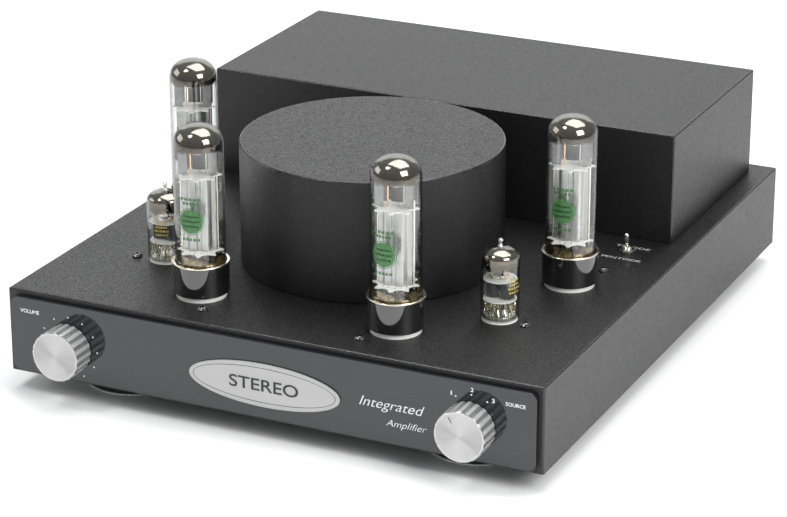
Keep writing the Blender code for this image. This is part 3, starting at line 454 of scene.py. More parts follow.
def wire(points, radius, sides=8):
    """A round wire along a line of points."""
    points = [Vector(p) for p in points]
    shape, rings, side = bmesh.new(), [], None
    for i, point in enumerate(points):
        along = (points[min(i + 1, len(points) - 1)] - points[max(i - 1, 0)]).normalized()
        side = along.orthogonal() if side is None else side - along * side.dot(along)
        side.normalize()
        other = along.cross(side)
        rings.append([shape.verts.new(point + radius * (side * math.cos(a) + other * math.sin(a)))
                      for a in (math.tau * k / sides for k in range(sides))])
    for a, b in zip(rings, rings[1:]):
        for k in range(sides):
            shape.faces.new((a[k], a[(k + 1) % sides], b[(k + 1) % sides], b[k]))
    shape.faces.new(rings[0][::-1])
    shape.faces.new(rings[-1])
    bmesh.ops.recalc_face_normals(shape, faces=shape.faces)
    return shape


def moved(shape, matrix):
    """The shape carried by a matrix or a plain shift."""
    if not isinstance(matrix, Matrix):
        matrix = Matrix.Translation(matrix)
    bmesh.ops.transform(shape, matrix=matrix, verts=shape.verts)
    return shape


def linked(name, data):
    """An object in the scene."""
    obj = bpy.data.objects.new(name, data)
    bpy.context.scene.collection.objects.link(obj)
    return obj


def held(shape):
    """A shape as an object that a boolean can use."""
    data = bpy.data.meshes.new("held")
    shape.to_mesh(data)
    shape.free()
    return linked("held", data)


def gathered(shapes):
    """Several shapes as one."""
    whole = bmesh.new()
    for shape in shapes:
        data = bpy.data.meshes.new("gathered")
        shape.to_mesh(data)
        shape.free()
        whole.from_mesh(data)
        bpy.data.meshes.remove(data)
    return whole


def cut(shape, *tools, operation="DIFFERENCE"):
    """The shape after booleans with each tool in turn."""
    for tool in tools:
        base, other = held(shape), held(tool)
        step = base.modifiers.new("cut", "BOOLEAN")
        step.operation, step.object = operation, other
        data = bpy.data.meshes.new_from_object(base.evaluated_get(bpy.context.evaluated_depsgraph_get()))
        for obj in (base, other):
            bpy.data.objects.remove(obj, do_unlink=True)
        shape = bmesh.new()
        shape.from_mesh(data)
        bpy.data.meshes.remove(data)
        bmesh.ops.remove_doubles(shape, verts=shape.verts, dist=1e-6)
    return shape


def lettering(text, width, height, depth=0.00005, slant=0.0, weight=0.0):
    """Raised letters in the XY plane, centred, of that width and height."""
    curve = bpy.data.curves.new("lettering", "FONT")
    curve.body, curve.shear, curve.offset = text, slant, weight
    obj = linked("lettering", curve)
    data = bpy.data.meshes.new_from_object(obj.evaluated_get(bpy.context.evaluated_depsgraph_get()))
    bpy.data.objects.remove(obj, do_unlink=True)
    shape = bmesh.new()
    shape.from_mesh(data)
    bpy.data.meshes.remove(data)
    low = [min(v.co[i] for v in shape.verts) for i in (0, 1)]
    high = [max(v.co[i] for v in shape.verts) for i in (0, 1)]
    for v in shape.verts:
        v.co.x = (v.co.x - (low[0] + high[0]) / 2) * width / (high[0] - low[0])
        v.co.y = (v.co.y - (low[1] + high[1]) / 2) * height / (high[1] - low[1])
        v.co.z = depth
    return shape


# ---------------------------------------------------------------- placing

def corner_normals(data, limit):
    """Normals weighted by area, so that a broad flat face stays flat beside its rounded edge."""
    around = [[] for _ in data.vertices]
    for face in data.polygons:
        for index in face.vertices:
            around[index].append((face.normal, face.normal * face.area))
    normals = []
    for face in data.polygons:
        for index in face.vertices:
            near = (weighted for normal, weighted in around[index] if normal.dot(face.normal) > limit)
            total = sum(near, Vector())
            normals.append(total.normalized() if total.length else face.normal.copy())
    return normals


def mesh(name, items, sharp=35):
    """One mesh of (shape, material) pairs, or one shape and material."""
    data = bpy.data.meshes.new(name)
    whole = bmesh.new()
    finishes = []
    for shape, finish in items:
        if finish not in finishes:
            finishes.append(finish)
        for face in shape.faces:
            face.material_index = finishes.index(finish)
        part = bpy.data.meshes.new("part")
        shape.to_mesh(part)
        shape.free()
        whole.from_mesh(part)
        bpy.data.meshes.remove(part)
    whole.to_mesh(data)
    whole.free()
    for finish in finishes:
        data.materials.append(finish)
    data.shade_smooth()
    data.set_sharp_from_angle(angle=math.radians(sharp))
    data.normals_split_custom_set(corner_normals(data, math.cos(math.radians(sharp))))
    return data


def put(name, data, body, place=(0, 0, 0), turn=None, stands_for=()):
    """A piece that rides on a CAD body."""
    obj = linked(name, data)
    obj.matrix_world = Matrix.Translation(place) @ (turn or Matrix.Identity(4))
    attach(obj, body)
    if stands_for:
        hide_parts(*stands_for)
    return obj


# ---------------------------------------------------------------- case

def flowed_edges(data, close):
    """The coat pulls thin and smooth over the folded edges, so those faces get the smooth coat."""
    data.materials.append(POWDER_EDGE)
    for polygon in data.polygons:
        if max(abs(part) for part in polygon.normal) < 0.995 and close(*polygon.center):
            polygon.material_index = 1
    return data


def near_two_sides(width, depth, height, reach=0.0014):
    """Tells whether a place lies on an outer edge of a box that stands on z = 0."""
    def close(x, y, z):
        return (abs(x) > width / 2 - reach) + (abs(y) > depth / 2 - reach) + (z > height - reach) > 1
    return close


def make_case():
    """The folded case and its slotted bottom."""
    wall_top = FOOT_H + 0.0005
    shell = box((CASE_W, CASE_D, CASE_H), (0, 0, FOOT_H + CASE_H / 2), 0.0012, 5,
                lambda e: max(v.co.z for v in e.verts) > wall_top)
    shell = cut(shell, box((CASE_W - 2 * WALL, CASE_D - 2 * WALL, CASE_H),
                           (0, 0, FOOT_H + CASE_H / 2 - WALL)))
    over, under = DECK + 0.002, DECK - 0.006
    holes = [rod(0.015, (x, y, under), (x, y, over), 64) for x, y in POWER_TUBES.values()]
    holes += [rod(0.0107, (x, y, under), (x, y, over), 48) for x, y in SMALL_TUBES.values()]
    holes += [rod(0.0043, (x, y, under), (x, y, over)) for x, y in CORES.values()]
    holes += [rod(0.0045, (0, y, under), (0, y, over)) for y in (0.0155, 0.108)]
    holes.append(rod(0.0032, (*TOGGLE_XY, under), (*TOGGLE_XY, over)))
    holes += [rod(0.0045, (x, FRONT_Y - 0.002, MID), (x, FRONT_Y + 0.004, MID)) for x in (-KNOB_X, KNOB_X)]
    windows = [(INLET_X, 0.029, 0.022), (SWITCH_X, 0.014, 0.0212), (JACKS_X, 0.055, 0.025)]
    windows += [(x, 0.048, 0.01) for x in TERMINALS_X.values()]
    holes += [box((w, 0.006, h), (x, REAR_Y - 0.001, MID)) for x, w, h in windows]
    folded = flowed_edges(mesh("steel_case", [(cut(shell, gathered(holes)), POWDER)]),
                          near_two_sides(CASE_W, CASE_D, FOOT_H + CASE_H))
    put("steel_case", folded, "amplifier",
        stands_for=["case"])

    vents = []
    for row in (-1, 0, 1):
        for column in range(-4, 5):
            if abs(column * 0.024) < 0.077 or row == 0:
                slot = rounded(oblong(0.0025, 0.0225, 0.00245), 6, True)
                vents.append(moved(prism(slot, -0.01, 0.01), (column * 0.024, row * 0.1, FOOT_H)))
    under = box((CASE_W - 0.005, CASE_D - 0.005, 0.0015), (0, 0, FOOT_H + 0.00075), 0.0004, 2)
    put("ventilated_bottom", mesh("ventilated_bottom", [(cut(under, gathered(vents)), POWDER)]), "amplifier",
        stands_for=["bottom_plate"])


def button_screw(radius, height):
    """A button-head screw with a hexagon recess, its head on z = 0."""
    profile = rounded([(0, height), (radius * 0.55, height, radius * 0.5), (radius, height * 0.35, 0.0002),
                       (radius, 0), (0, 0)], 6)
    return cut(lathe(profile, 40), prism(circle(radius * 0.42, 6), height * 0.35, height * 2))


def make_screws():
    """The button-head screws of deck, bottom and cover."""
    deck = mesh("deck_screw", [(button_screw(0.0031, 0.0022), BLACK_STEEL)])
    places = [(sign * x, y) for x, y in ((0.1265, -0.1205), (0.05, -0.1778), (0.1354, -0.0231))
              for sign in (-1, 1)]
    for i, (x, y) in enumerate(places):
        put(f"deck_screw_{i + 1}", deck, "amplifier", (x, y, DECK + INK),
            Matrix.Rotation(i, 4, "Z"))

    flat = mesh("bottom_screw", [(button_screw(0.0028, 0.0014), BLACK_STEEL)])
    places = [(x, y) for x in (-0.158, 0.158) for y in (-0.17, -0.06, 0.06, 0.17)]
    places += [(x, y) for x in (-0.05, 0.05) for y in (-0.182, 0.182)]
    over = Matrix.Rotation(math.pi, 4, "X")
    for i, (x, y) in enumerate(places):
        put(f"bottom_screw_{i + 1}", flat, "amplifier", (x, y, FOOT_H), over)

    side = mesh("cover_screw", [(button_screw(0.0022, 0.0011), BLACK_STEEL)])
    places = [(x, COVER_Y[1], DECK + z) for x in (-0.13, 0, 0.13) for z in (0.008, 0.06)]
    backwards = Matrix.Rotation(-math.pi / 2, 4, "X")
    for i, place in enumerate(places):
        put(f"cover_screw_{i + 1}", side, "amplifier", place, backwards)


def make_feet():
    """A moulded foot with a bright ring, a rubber pad and the screw that holds it. The ring is drawn as two
    thin near-white bands where its highlight lines fall: a real chrome ring with painted highlights.
    """
    top = FOOT_H - GAP
    body = turned([(0, top), (0.0285, top, 0.001), (0.0292, 0.005, 0.0004), (0.0292, 0.0015, 0.0008),
                          (0.0262, 0.0008, 0.0004), (0.025, 0.0016), (0.009, 0.0016), (0.0085, 0.006),
                          (0, 0.006)], 3, 96)
    # Two thin bands where the ring's highlight lines fall: painted highlight.
    rings = [turned_ring([(0.0288, low, 0.0002), (0.03, low, 0.0004), (0.03, low + 0.0011, 0.0004),
                            (0.0288, low + 0.0011, 0.0002)], 4, 96) for low in (0.0004, 0.0044)]
    pad = lathe(rounded([(0.0245, 0.00155), (0.0245, 0.0, 0.0004), (0.011, 0.0, 0.0004), (0.011, 0.00155)],
                        3), 96, ring=True)
    over = Matrix.Translation((0, 0, 0.00595)) @ Matrix.Rotation(math.pi, 4, "X")
    screw = moved(button_screw(0.0045, 0.0022), over)
    data = mesh("foot", [(body, FOOT_BODY), (pad, RUBBER), (screw, ZINC)]
                + [(ring, FOOT_RING_HIGHLIGHT) for ring in rings])
    for end, y in (("front", -FOOT_Y), ("rear", FOOT_Y)):
        for side, x in (("left", -FOOT_X), ("right", FOOT_X)):
            put(f"ringed_foot_{end}_{side}", data, "amplifier", (x, y, 0),
                stands_for=[f"foot_{end}_{side}"])


def make_panel():
    """The glossy front panel with its printed dots, words and numbers."""
    middle = (PANEL_LOW + PANEL_HIGH) / 2
    shape = plate(PANEL_W, PANEL_HIGH - PANEL_LOW, 0.0045, 0, PANEL_T, 0.0005)
    holes = [rod(0.005, (x, MID - middle, -0.01), (x, MID - middle, 0.01), 32) for x in (-KNOB_X, KNOB_X)]
    put("polished_panel", mesh("polished_panel", [(cut(shape, gathered(holes)), PANEL)]), "amplifier",
        (0, FRONT_Y - GAP, middle), TO_FRONT, ["front_panel"])

    def print_on(name, items):
        put(name, mesh(name, [(shape, LETTER) for shape in items]), "amplifier",
            (0, PANEL_Y - INK, 0), TO_FRONT)

    def words(rows, **style):
        return [moved(lettering(text, width, height, **style), (x, z, 0)) for text, width, height, x,
                z in rows]

    def dots(centre, radius, angles):
        spots = []
        for angle in angles:
            a = math.radians(angle)
            spot = lathe([(0, 0.00005), (0.00052, 0.00005), (0.00052, 0), (0, 0)], 20)
            spots.append(moved(spot, (centre + radius * math.cos(a), MID + radius * math.sin(a), 0)))
        return spots

    print_on("volume_dots", dots(-KNOB_X, 0.0189, range(-60, 241, 30)))
    print_on("source_dots", dots(KNOB_X + 0.0003, 0.0189, (60, 90, 120)))
    print_on("volume_word", words([("VOLUME", 0.0129, 0.0024, -0.1537, 0.0525)], weight=0.02))
    print_on("source_word", words([("SOURCE", 0.0118, 0.0022, 0.1543, 0.0518)], weight=0.02))
    numbers = [("1", 0.0008, 0.0026, 0.1161, 0.0522), ("2", 0.0017, 0.0026, 0.1285, 0.0562),
               ("3", 0.0017, 0.0026, 0.1411, 0.052)]
    print_on("source_numbers", words(numbers, weight=0.02))
    caption = [("Integrated", 0.04, 0.0076, 0.08, 0.0365), ("Amplifier", 0.025, 0.0052, 0.089, 0.0262)]
    print_on("plain_caption", words(caption, slant=0.35, weight=-0.008))


def make_badge():
    """An oval plate with a raised rim, a thin inlaid line and a plain word."""
    half_w, half_h, thick = 0.048, 0.0133, 0.001

    def oval(inset, count=128):
        return [(x * (half_w - inset), y * (half_h - inset)) for x, y in circle(1.0, count)]

    def band(outer, inner, low, high):
        return cut(prism(oval(outer), low, high), prism(oval(inner), low - 0.001, high + 0.001))

    body = prism(oval(0), 0, thick - 0.0001, 0.0002)
    items = [(body, BADGE), (band(0.00035, 0.00085, thick - 0.0002, thick - 0.00004), BADGE),
             (band(0.0026, 0.00295, thick - 0.0002, thick - 0.00006), DARK_FILL),
             (moved(lettering("STEREO", 0.044, 0.0075, weight=0.012), (0, 0, thick - 0.00005)), DARK_FILL)]
    put("oval_badge", mesh("oval_badge", items), "amplifier",
        (0.0005, PANEL_Y - GAP, FOOT_H + 0.0228), TO_FRONT, ["front_badge"])


def make_covers():
    """The drum over the mains transformer and the long cover over the output transformers."""
    edge = 0.0012
    outside = rounded([(0, CAN_H), (CAN_R, CAN_H, edge), (CAN_R, GAP, 0.0003), (CAN_R - SHEET, GAP, 0.0003),
                       (CAN_R - SHEET, CAN_H - SHEET, 0.001), (0, CAN_H - SHEET)], 6)
    drum = flowed_edges(mesh("round_cover", [(lathe(outside, 160), POWDER)]),
                        lambda x, y, z: z > CAN_H - 0.0013 and math.hypot(x, y) > CAN_R - 0.0013)
    put("round_cover", drum, "amplifier",
        (0, CAN_Y, DECK), stands_for=["mains_transformer_cover"])

    depth, y, height = COVER_Y[1] - COVER_Y[0], sum(COVER_Y) / 2, COVER_H - GAP
    outer = box((COVER_W, depth, height), (0, 0, GAP + height / 2), edge, 5,
                lambda e: max(v.co.z for v in e.verts) > GAP + 0.001)
    inner = box((COVER_W - 2 * SHEET, depth - 2 * SHEET, height), (0, 0, GAP + height / 2 - SHEET))
    lid = flowed_edges(mesh("long_cover", [(cut(outer, inner), POWDER)]),
                       near_two_sides(COVER_W, depth, COVER_H))
    put("long_cover", lid, "amplifier",
        (0, y, DECK), stands_for=["output_transformer_cover"])


# ---------------------------------------------------------------- inside

def make_transformers():
    """Three wound rings, each clamped by a dished washer and a bolt."""
    for side, place in CORES.items():
        name = f"{side}_transformer"
        outer, inner, height = (0.066, 0.014, 0.06) if side == "mains" else (0.052, 0.011, 0.05)
        low, high, soft = 0.0028, 0.0028 + height, height * 0.2
        ring = turned_ring([(inner, low, soft / 2), (outer, low, soft), (outer, high, soft),
                              (inner, high, soft / 2)], 8, 96)
        put(f"wound_{name}", mesh("wound_ring", [(ring, TAPE)]), "amplifier", (*place, DECK),
            stands_for=[name])
        seat, wide = high + GAP, outer * 0.45
        washer = turned_ring([(0.004, seat + 0.003), (wide / 2, seat + 0.003, 0.002),
                                (wide, seat + 0.0015, 0.0004), (wide, seat, 0.0004), (0.004, seat)], 4, 64)
        nut = lathe([(0, seat + 0.008), (0.004, seat + 0.008), (0.004, -0.008), (0, -0.008)], 24)
        head = prism(circle(0.0065, 6), seat + 0.0031, seat + 0.007, 0.0004)
        put(f"{name}_clamp", mesh("clamp", [(washer, ZINC), (nut, ZINC), (head, ZINC)]), "amplifier",
            (*place, DECK), stands_for=[f"{name}_bolt"])


def can_capacitor(radius, height):
    """A can with a groove round its foot, a rolled lip and a dished top."""
    lip = radius * 0.1
    side = rounded([(radius - lip * 2, height - 0.0003), (radius - lip, height, 0.0003),
                    (radius, height - lip, lip / 2), (radius, height * 0.22, 0.0004),
                    (radius - lip / 2, height * 0.17, 0.0005), (radius, height * 0.12, 0.0004),
                    (radius, 0, 0.0004), (0, 0)], 3)
    return lathe([(0, height - 0.0004)] + side, 40)


def make_board():
    """The main board with its capacitors, relays and resistors."""
    top = FOOT_H + 0.01
    items = [(box((0.19, 0.15, 0.0016), (0, 0.06, top - 0.0008), 0.0002, 1), BOARD)]
    for (radius, height), places in (((0.0125, 0.027), [(x, 0.02) for x in (-0.062, -0.031, 0.031, 0.062)]),
                                     ((0.008, 0.02), [(x, 0.052) for x in (-0.06, 0.06)])):
        for x, y in places:
            items.append((moved(can_capacitor(radius, height), (x, y, top)), SLEEVE))
            disc = lathe([(0, 0.0001), (radius * 0.78, 0.0001), (radius * 0.78, -0.0002), (0, -0.0002)], 32)
            items.append((moved(disc, (x, y, top + height)), ZINC))
    for x in (-0.05, 0.05):
        items.append((box((0.02, 0.028, 0.015), (x, 0.1, top + 0.0075), 0.0008, 2), RELAY))
    for i in range(10):
        x, y = -0.081 + 0.018 * i, 0.076
        for part, radius in (((-0.003, 0.003), 0.0013), ((-0.0035, -0.0022), 0.0016),
                             ((0.0022, 0.0035), 0.0016)):
            items.append((rod(radius, (x, y + part[0], top + 0.002), (x, y + part[1], top + 0.002), 16),
                          MICA))
        items.append((wire([(x, y - 0.006, top), (x, y - 0.0058, top + 0.002), (x, y + 0.0058, top + 0.002),
                            (x, y + 0.006, top)], 0.0003, 6), ZINC))
    put("populated_board", mesh("populated_board", items), "amplifier",
        stands_for=["main_board"])


# ---------------------------------------------------------------- power tubes

def make_power_sockets():
    """Ceramic sockets with eight gold sleeves and a keyed middle."""
    low, flange = -0.013, -WALL - GAP
    body = turned([(0, 0.0025), (0.0148, 0.0025, 0.0006), (0.0148, flange), (0.0187, flange, 0.0003),
                          (0.0187, flange - 0.0012, 0.0003), (0.0141, flange - 0.0012), (0.0141, low, 0.0006),
                          (0, low)], 4, 72)
    pins = circle(BIG_PINS, 8, first=math.pi / 8)
    holes = [rod(0.0016, (x, y, low - 0.01), (x, y, 0.01), 20) for x, y in pins]
    centre = rod(0.0044, (0, 0, low - 0.01), (0, 0, 0.01), 40)
    keyway = box((0.0016, 0.002, 0.04), (0.0046, 0, 0))
    sleeve = [(0.0016, 0.0012), (0.0016, low), (0.00135, low), (0.00135, 0.0012)]
    contacts = [(moved(lathe(sleeve, 20, ring=True), (x, y, 0)), GOLD) for x, y in pins]
    data = mesh("power_socket", [(cut(body, gathered(holes), centre, keyway), CERAMIC)] + contacts)
    for place, (x, y) in POWER_TUBES.items():
        put(f"ceramic_socket_{place}", data, "amplifier", (x, y, DECK),
            stands_for=[f"power_socket_{place}"])


def power_base():
    """A phenolic cup with a metal rim, eight pins and a keyed spigot."""
    cup = lathe(rounded([(0.01505, 0.0205), (0.01505, 0.006), (0, 0.006)], 2)[::-1]
                + rounded([(0.01505, 0.0209), (0.0166, 0.0209, 0.0003), (0.0166, 0.0028, 0.0009),
                           (0.011, 0.0028, 0.0003), (0.0108, 0.0034), (0, 0.0034)], 5)[1:], 96)
    rim = turned_ring([(0.01515, 0.0219, 0.0002), (0.0171, 0.0219, 0.0004), (0.0171, 0.0209, 0.0003),
                         (0.01515, 0.0206, 0.0001)], 3, 96)
    items = [(cup, BAKELITE), (rim, RIM_METAL)]
    for x, y in circle(BIG_PINS, 8, first=math.pi / 8):
        pin = turned([(0, -0.0082), (0.0012, -0.0082, 0.0009), (0.0012, 0.004), (0, 0.004)], 4, 20)
        items.append((moved(pin, (x, y, 0)), NICKEL))
    spigot = turned([(0, -0.011), (0.004, -0.011, 0.0008), (0.004, 0.004), (0, 0.004)], 4, 32)
    items += [(spigot, BAKELITE), (box((0.0012, 0.0014, 0.014), (0.0044, 0, -0.0038), 0.0002), BAKELITE)]
    return mesh("power_base", items)


def bulb_curve(radius, dome, shoulder, low, steps=14, flat=2.5):
    """From the middle of a bulb's top to its lower edge; flat above 2 makes the top squarer than round."""
    path = []
    for i in range(steps + 1):
        a = math.pi / 2 * i / steps
        path.append((radius * math.sin(a) ** (2 / flat), shoulder + dome * math.cos(a) ** (2 / flat)))
    return path + [(radius, low)]


def power_glass():
    """A straight bulb with a squarish dome."""
    outer = bulb_curve(BIG_BULB, 0.0125, 0.0918, 0.007, flat=2.35)
    inner = bulb_curve(0.0142, 0.012, 0.0918, 0.007, flat=2.35)
    return mesh("power_glass", [(lathe(outer + inner[::-1], 96), GLASS)], 60)


def getter_shell(radius, dome, shoulder, low, flat):
    """A thin shell just inside a bulb's top, for the mirror."""
    path = bulb_curve(radius, dome, shoulder, low, 20, flat)
    inside = [(max(r - 0.00012, 0), z - 0.00012) for r, z in path]
    inside[-1] = (inside[-1][0], low)
    return lathe(path + inside[::-1], 96)


def toothed_mica(radius, depth, teeth, z):
    """A mica whose broad teeth press on the glass, with punched holes."""
    outline = []
    for i in range(teeth):
        for share, reach in ((-0.3, radius - depth), (-0.06, radius), (0.06, radius), (0.3, radius - depth)):
            a = math.tau * (i + share) / teeth
            outline.append((reach * math.cos(a), reach * math.sin(a)))
    disc = prism(outline, z - 0.0003, z + 0.0003)
    places = four_ways([(0.0104, 0.0035)]) + [(0.003, 0.0078), (-0.003, -0.0078)]
    holes = [rod(0.0007, (x, y, z - 0.002), (x, y, z + 0.002), 10) for x, y in places]
    return cut(disc, gathered(holes))


def power_electrodes():
    """Leads and pinch, two toothed micas, the winged anode, heat flags, rods and the getter's ring."""
    low, high = 0.0284, 0.0736
    half, wing, depth = 0.0062, 0.0098, 0.0052
    quarter = [(wing, 0.0012, 0.0004), (half + 0.0008, 0.0016, 0.001), (half - 0.0006, depth, 0.002),
               (0.0016, depth, 0.0006), (0.001, depth - 0.001, 0.0003)]
    outline = rounded(four_ways(quarter), 4, True)
    items = [(prism(outline, low, high, 0.0001, 1), ANODE)]
    for z in (low, high):
        items.append((toothed_mica(0.0136, 0.0034, 8, z + (0.0004 if z == high else -0.0004)), MICA))
    for sign in (-1, 1):
        for z in (0.036, 0.044, 0.052, 0.06, 0.068):
            items.append((box((0.003, 0.0005, 0.0012), (sign * 0.0084, 0.0014 * sign, z), 0.0002), ANODE))
        items.append((rod(0.0007, (sign * 0.0104, 0, 0.0255), (sign * 0.0104, 0, 0.079), 12), NICKEL))
        for y in (-0.0044, 0.0044):
            items.append((box((0.0052, 0.0003, 0.015), (sign * 0.0086, y, high + 0.009), 0.0001, 1), FLAG))
        items.append((rod(0.00055, (sign * 0.0044, sign * 0.001, high),
                          (sign * 0.0044, sign * 0.001, 0.0885), 12), COPPER if sign < 0 else NICKEL))
    items.append((box((0.01, 0.0003, 0.015), (0.001, 0.0046, high + 0.009), 0.0001, 1), DARK_ANODE))
    ring = [(0.0036 * math.cos(a), 0.0036 * math.sin(a), 0.0868)
            for a in (math.tau * i / 28 for i in range(29))]
    items.append((moved(wire(ring, 0.00055), (0, 0.001, 0)), NICKEL))
    items.append((wire([(0.0, 0.006, high), (0.0, 0.0064, 0.08), (0, 0.0046, 0.0868)], 0.0005), NICKEL))
    items.append((moved(turned([(0, 0.024), (0.0046, 0.024, 0.002), (0.006, 0.015, 0.004),
                                       (0.0088, 0.0068, 0.002), (0, 0.0068)], 5, 40),
                        Matrix.Diagonal((1.0, 0.55, 1.0, 1.0))), STEM_GLASS))
    for i, (x, y) in enumerate(circle(0.0068, 14, first=0.4)):
        bend = 0.0014 * math.sin(2.3 * i)
        items.append((wire([(x * 0.3 + bend, y * 0.2, 0.02), (x * 0.55, y * 0.45 + bend, 0.0236),
                            (x * 1.15, y * 1.1, 0.0256), (x * 1.25, y * 1.2, low)], 0.00045, 6), WIRE))
        items.append((wire([(x * 1.5, y * 1.5, 0.0066), (x * 1.1, y * 0.9, 0.012),
                            (x * 0.3 + bend, y * 0.2, 0.02)], 0.00045, 6), WIRE))
    # A band of painted reflection of the lead wires, on the inside of the glass just above the base.
    reflection_band = lathe([(0.01405, 0.0207), (0.01415, 0.0207), (0.01415, 0.0272), (0.01405, 0.0272)], 72, ring=True)
    items.append((reflection_band, WIRE_REFLECTION))
    return mesh("power_electrodes", items)


def curved_print(outline, radius, lift, turn_centre, z_centre):
    """A flat outline in millimetres wrapped on a cylinder, as a thin sheet of triangles."""
    shape = prism([(x / 1000, y / 1000) for x, y in outline], 0, 0.00003)
    bmesh.ops.triangulate(shape, faces=shape.faces)
    bmesh.ops.subdivide_edges(shape, edges=[e for e in shape.edges if e.calc_length() > 0.0008], cuts=4)
    bmesh.ops.triangulate(shape, faces=shape.faces)
    for v in shape.verts:
        angle = turn_centre + v.co.x / radius
        reach = radius + lift + v.co.z
        v.co = (reach * math.cos(angle), reach * math.sin(angle), z_centre + v.co.y)
    return shape


def row_bars(rows, tall):
    """Rows of five short bars in place of words, each row with its height and half its width."""
    bars = []
    for row, half in rows:
        for k in range(-2, 3):
            centre, wide = half * k * 0.42, half * 0.15
            bars.append([(centre - wide, row - tall), (centre + wide, row - tall),
                         (centre + wide, row + tall), (centre - wide, row + tall)])
    return bars


def power_print():
    """A plain printed disc with rings and bars, on the glass."""
    gap = 0.00004
    items = []

    def add(outline, finish, lift=0.0):
        items.append((curved_print(outline, BIG_BULB, gap + lift, 0.0, 0.05), finish))

    def arc_band(inner, outer, start, end, count=40):
        angles = [math.radians(start + (end - start) * i / count) for i in range(count + 1)]
        return [(outer * math.cos(a), outer * math.sin(a)) for a in angles] + \
            [(inner * math.cos(a), inner * math.sin(a)) for a in angles[::-1]]

    add(circle(7.2, 48), GREEN_PRINT)
    for start in (0, 180):
        add(arc_band(7.7, 8.1, start, start + 179.5), GREEN_PRINT)
    for row in (-3.0, 0.0, 3.0):
        half = math.sqrt(5.6 ** 2 - row ** 2)
        add([(-half, row - 0.55), (half, row - 0.55), (half, row + 0.55), (-half, row + 0.55)], DARK_GREEN,
            0.00004)
    for bar in row_bars(((13.4, 6.4), (10.8, 4.8), (-11.0, 5.4)), 0.8):
        add(bar, GREEN_PRINT)
    return mesh("power_print", items)


def make_power_tubes():
    """Base, bulb, electrodes, getter and print for each power tube."""
    base, glass, electrodes, disc = power_base(), power_glass(), power_electrodes(), power_print()
    getter = mesh("power_getter", [(getter_shell(0.01415, 0.01195, 0.0918, 0.085, 2.35), GETTER)], 60)
    turns = {"front_left": -82, "front_right": -94, "rear_left": -82, "rear_right": -89}
    for place, (x, y) in POWER_TUBES.items():
        body, spot = f"power_tube_{place}", (x, y, DECK)
        turn = Matrix.Rotation(math.radians(turns[place] + 104), 4, "Z")
        put(f"{body}_cup", base, body, spot, turn, [f"{body}_base"])
        put(f"{body}_bulb", glass, body, spot, turn, [f"{body}_glass"])
        put(f"{body}_structure", electrodes, body, spot, turn, [f"{body}_electrodes"])
        put(f"{body}_getter", getter, body, spot, turn)
        put(f"{body}_print", disc, body, spot,
            Matrix.Rotation(math.radians(turns[place]), 4, "Z"))


# ---------------------------------------------------------------- small tubes

